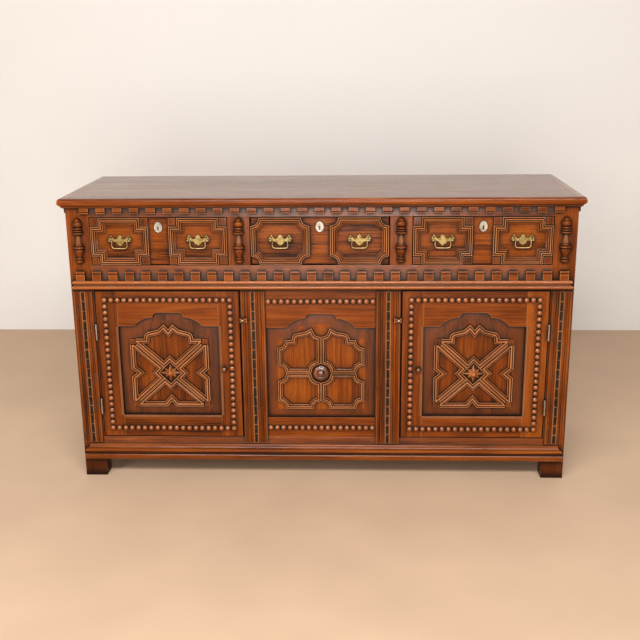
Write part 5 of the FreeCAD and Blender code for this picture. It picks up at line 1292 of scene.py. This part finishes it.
class DRESSER_OT_brasses(Operator):
    """Back plates, bails and keyhole plates"""

    bl_idname = "dresser.brasses"
    bl_label = "Brasses"

    def execute(self, context):
        metal = context.scene.dresser_brass
        wire = self.wire(metal)
        for drawer in DRAWERS:
            node = f"{drawer}_brasses"
            self.plates(metal, node, drawer)
            lugs = [box for box in solid_boxes(node) if box[1].x - box[0].x < 3 * metal.post]
            places = [((low.x + high.x) / 2, high.y, (low.z + high.z) / 2) for low, high in lugs]
            post = self.post(metal, lugs[0][1].y - lugs[0][0].y)
            posts = joined(row(post, places), f"{node}_posts")
            settle(posts, posts.name, drawer, "brass", [node], finishes.brass)
            for side in SIDES:
                bail = f"{drawer}_bail_{side}"
                low, high = solid_boxes(bail)[0]
                thick = high.y - low.y
                hung = twin(wire, ((low.x + high.x) / 2, (low.y + high.y) / 2, high.z - thick / 2))
                settle(hung, f"{bail}_wire", bail, "brass", [bail], finishes.brass)
        bpy.data.objects.remove(wire)
        return {"FINISHED"}

    @staticmethod
    def plates(metal, node, drawer):
        """Back plates, and keyhole plates with a sunk face."""
        plates = copied(node, lambda size: size.x > 3 * metal.post)
        choose(plates, "FACE", lambda polygon: polygon.material_index == 2 and polygon.normal.y < -0.9)
        with editing(plates, "FACE", chosen=True):
            bpy.ops.mesh.inset(thickness=1.6 * MM, depth=-0.6 * MM)
        soften(plates, 0.3 * MM)
        materials = (finishes.plate, finishes.plate, finishes.pale)
        settle(plates, f"{node}_plates", drawer, "brass", [node], *materials)

    @staticmethod
    def post(metal, long):
        """A post at the origin, with a collar on the plate and a ball for its head."""
        ball = metal.post
        neck = long - 2 * ball
        arc = 8
        line = [
            (0.95 * ball, 0), (0.95 * ball, 0.25 * neck), (0.6 * ball, 0.5 * neck), (0.55 * ball, neck)]
        for step in range(2, arc + 1):
            turn = math.pi * step / arc
            line.append((ball * math.sin(turn), neck + ball * (1 - math.cos(turn))))
        piece = turning([(out, -along, 0) for out, along in line], (0, 0, 0), (0, 1, 0), 2 * arc)
        apply_place(piece)
        return piece

    @staticmethod
    def wire(metal):
        """A bail hung at the origin: bent wire from post to post, its arms curved out to them."""
        bend = [*BAIL, *((-across, drop) for across, drop in BAIL[-2::-1])]
        pick(draw_line([(across * MM, 0, drop * MM) for across, drop in bend]))
        bpy.ops.object.convert(target="CURVE")
        bent = bpy.context.object
        bent.data.bevel_depth = metal.wire
        bent.data.bevel_resolution = 2
        bent.data.use_fill_caps = True
        bpy.ops.object.convert(target="MESH")
        face_out(bent)
        smooth(bent, 60)
        apply_place(bent)
        return bent


class DRESSER_OT_hinges(Operator):
    """Hinges and turn buttons"""

    bl_idname = "dresser.hinges"
    bl_label = "Hinges and turn buttons"

    def execute(self, context):
        metal = [finishes.hinge] * 3
        edge = 0.2 * MM
        dressed("hinge_frame_leaves", "case", "hinge_brass", metal, edge)
        dressed("turn_button_screws", "case", "hinge_brass", metal, edge)
        for side in SIDES:
            door = f"door_{side}"
            dressed(f"{door}_hinge_leaves", door, "hinge_brass", metal, edge)
            button = f"turn_button_{side}"
            dressed(button, button, "oak_trim", finishes.trim, edge=0.5 * MM)
        return {"FINISHED"}


class DRESSER_OT_stage(Operator):
    """Floor, wall, lamps and camera"""

    bl_idname = "dresser.stage"
    bl_label = "Stage"

    def execute(self, context):
        stage = context.scene.dresser_stage
        self.room(stage)
        self.lamps(context)
        self.camera(context, stage)
        context.scene.view_settings.view_transform = "Standard"
        return {"FINISHED"}

    @staticmethod
    def room(stage):
        """A floor and a wall that show from inside the room alone."""
        wide, near, high = 9, -7, 6
        line = [(-wide, near, 0), (-wide, stage.wall_place, 0), (-wide, stage.wall_place, high)]
        for name, ends, inward, shade, speckle in (
                ("floor", line[:2], (0, 0, 1), stage.floor, 0.05),
                ("wall", line[1:], (0, -1, 0), stage.wall, 0.012)):
            piece = draw_line(ends)
            with editing(piece):
                bpy.ops.mesh.extrude_region_move(TRANSFORM_OT_translate={"value": (2 * wide, 0, 0)})
            if piece.data.polygons[0].normal.dot(inward) < 0:
                with editing(piece):
                    bpy.ops.mesh.flip_normals()
            apply_place(piece)
            piece.name = name
            piece.data.materials.append(stage_finish(f"{name}_finish", shade, speckle))

    @staticmethod
    def lamps(context):
        """A key lamp at the left, soft lamps overhead and behind the camera, and a dim surround."""
        for name, (place, size, power, tint) in LAMPS.items():
            bpy.ops.object.light_add(type="AREA", location=place)
            lamp = context.object
            lamp.name = name
            lamp.data.shape = "RECTANGLE"
            lamp.data.size, lamp.data.size_y = size
            lamp.data.energy = power
            lamp.data.color = tint
            lamp.rotation_mode = "QUATERNION"
            lamp.rotation_quaternion = (LAMP_AIM - Vector(place)).to_track_quat("-Z", "Y")
        world = bpy.data.worlds.new("studio")
        context.scene.world = world
        world.use_nodes = True
        surround = world.node_tree.nodes["Background"].inputs
        surround["Color"].default_value = (1.0, 0.97, 0.94, 1)
        surround["Strength"].default_value = 0.1

    @staticmethod
    def camera(context, stage):
        bpy.ops.object.camera_add()
        camera = context.object
        camera.name = "camera"
        camera.data.lens = stage.lens
        camera.data.sensor_width = 36
        turn = Matrix.Rotation(-stage.camera_yaw, 4, "Z")
        tilt = Matrix.Rotation(math.pi / 2 - stage.camera_pitch, 4, "X")
        lean = Matrix.Rotation(stage.camera_roll, 4, "Z")
        camera.matrix_world = Matrix.Translation(stage.camera_place) @ turn @ tilt @ lean
        context.scene.camera = camera


OPERATORS = (
    DRESSER_OT_finishes,
    DRESSER_OT_carcase,
    DRESSER_OT_top,
    DRESSER_OT_mouldings,
    DRESSER_OT_balusters,
    DRESSER_OT_pilasters,
    DRESSER_OT_centre,
    DRESSER_OT_doors,
    DRESSER_OT_drawers,
    DRESSER_OT_brasses,
    DRESSER_OT_hinges,
    DRESSER_OT_stage,
)


class DRESSER_PT_sidebar(Panel):
    """Lists the pieces of the dresser and the sizes and colours they take"""

    bl_label = "Dresser"
    bl_idname = "DRESSER_PT_sidebar"
    bl_space_type = "VIEW_3D"
    bl_region_type = "UI"
    bl_category = "Dresser"

    def draw(self, context):
        for operator in OPERATORS:
            self.layout.operator(operator.bl_idname)
        for group in SETTINGS:
            box = self.layout.box()
            settings = getattr(context.scene, group)
            for name in settings.bl_rna.properties.keys():
                if name not in ("rna_type", "name"):
                    box.prop(settings, name)


SETTINGS = {
    "dresser_wood": DresserWood,
    "dresser_brass": DresserBrass,
    "dresser_trim": DresserTrim,
    "dresser_stage": DresserStage,
}
CLASSES = (*SETTINGS.values(), *OPERATORS, DRESSER_PT_sidebar)


def register():
    for item in CLASSES:
        bpy.utils.register_class(item)
    for name, group in SETTINGS.items():
        setattr(bpy.types.Scene, name, PointerProperty(type=group))


def unregister():
    for name in SETTINGS:
        delattr(bpy.types.Scene, name)
    for item in reversed(CLASSES):
        bpy.utils.unregister_class(item)


def main():
    register()
    for operator in OPERATORS:
        group, name = operator.bl_idname.split(".")
        getattr(getattr(bpy.ops, group), name)()


if __name__ == "__main__":
    main()
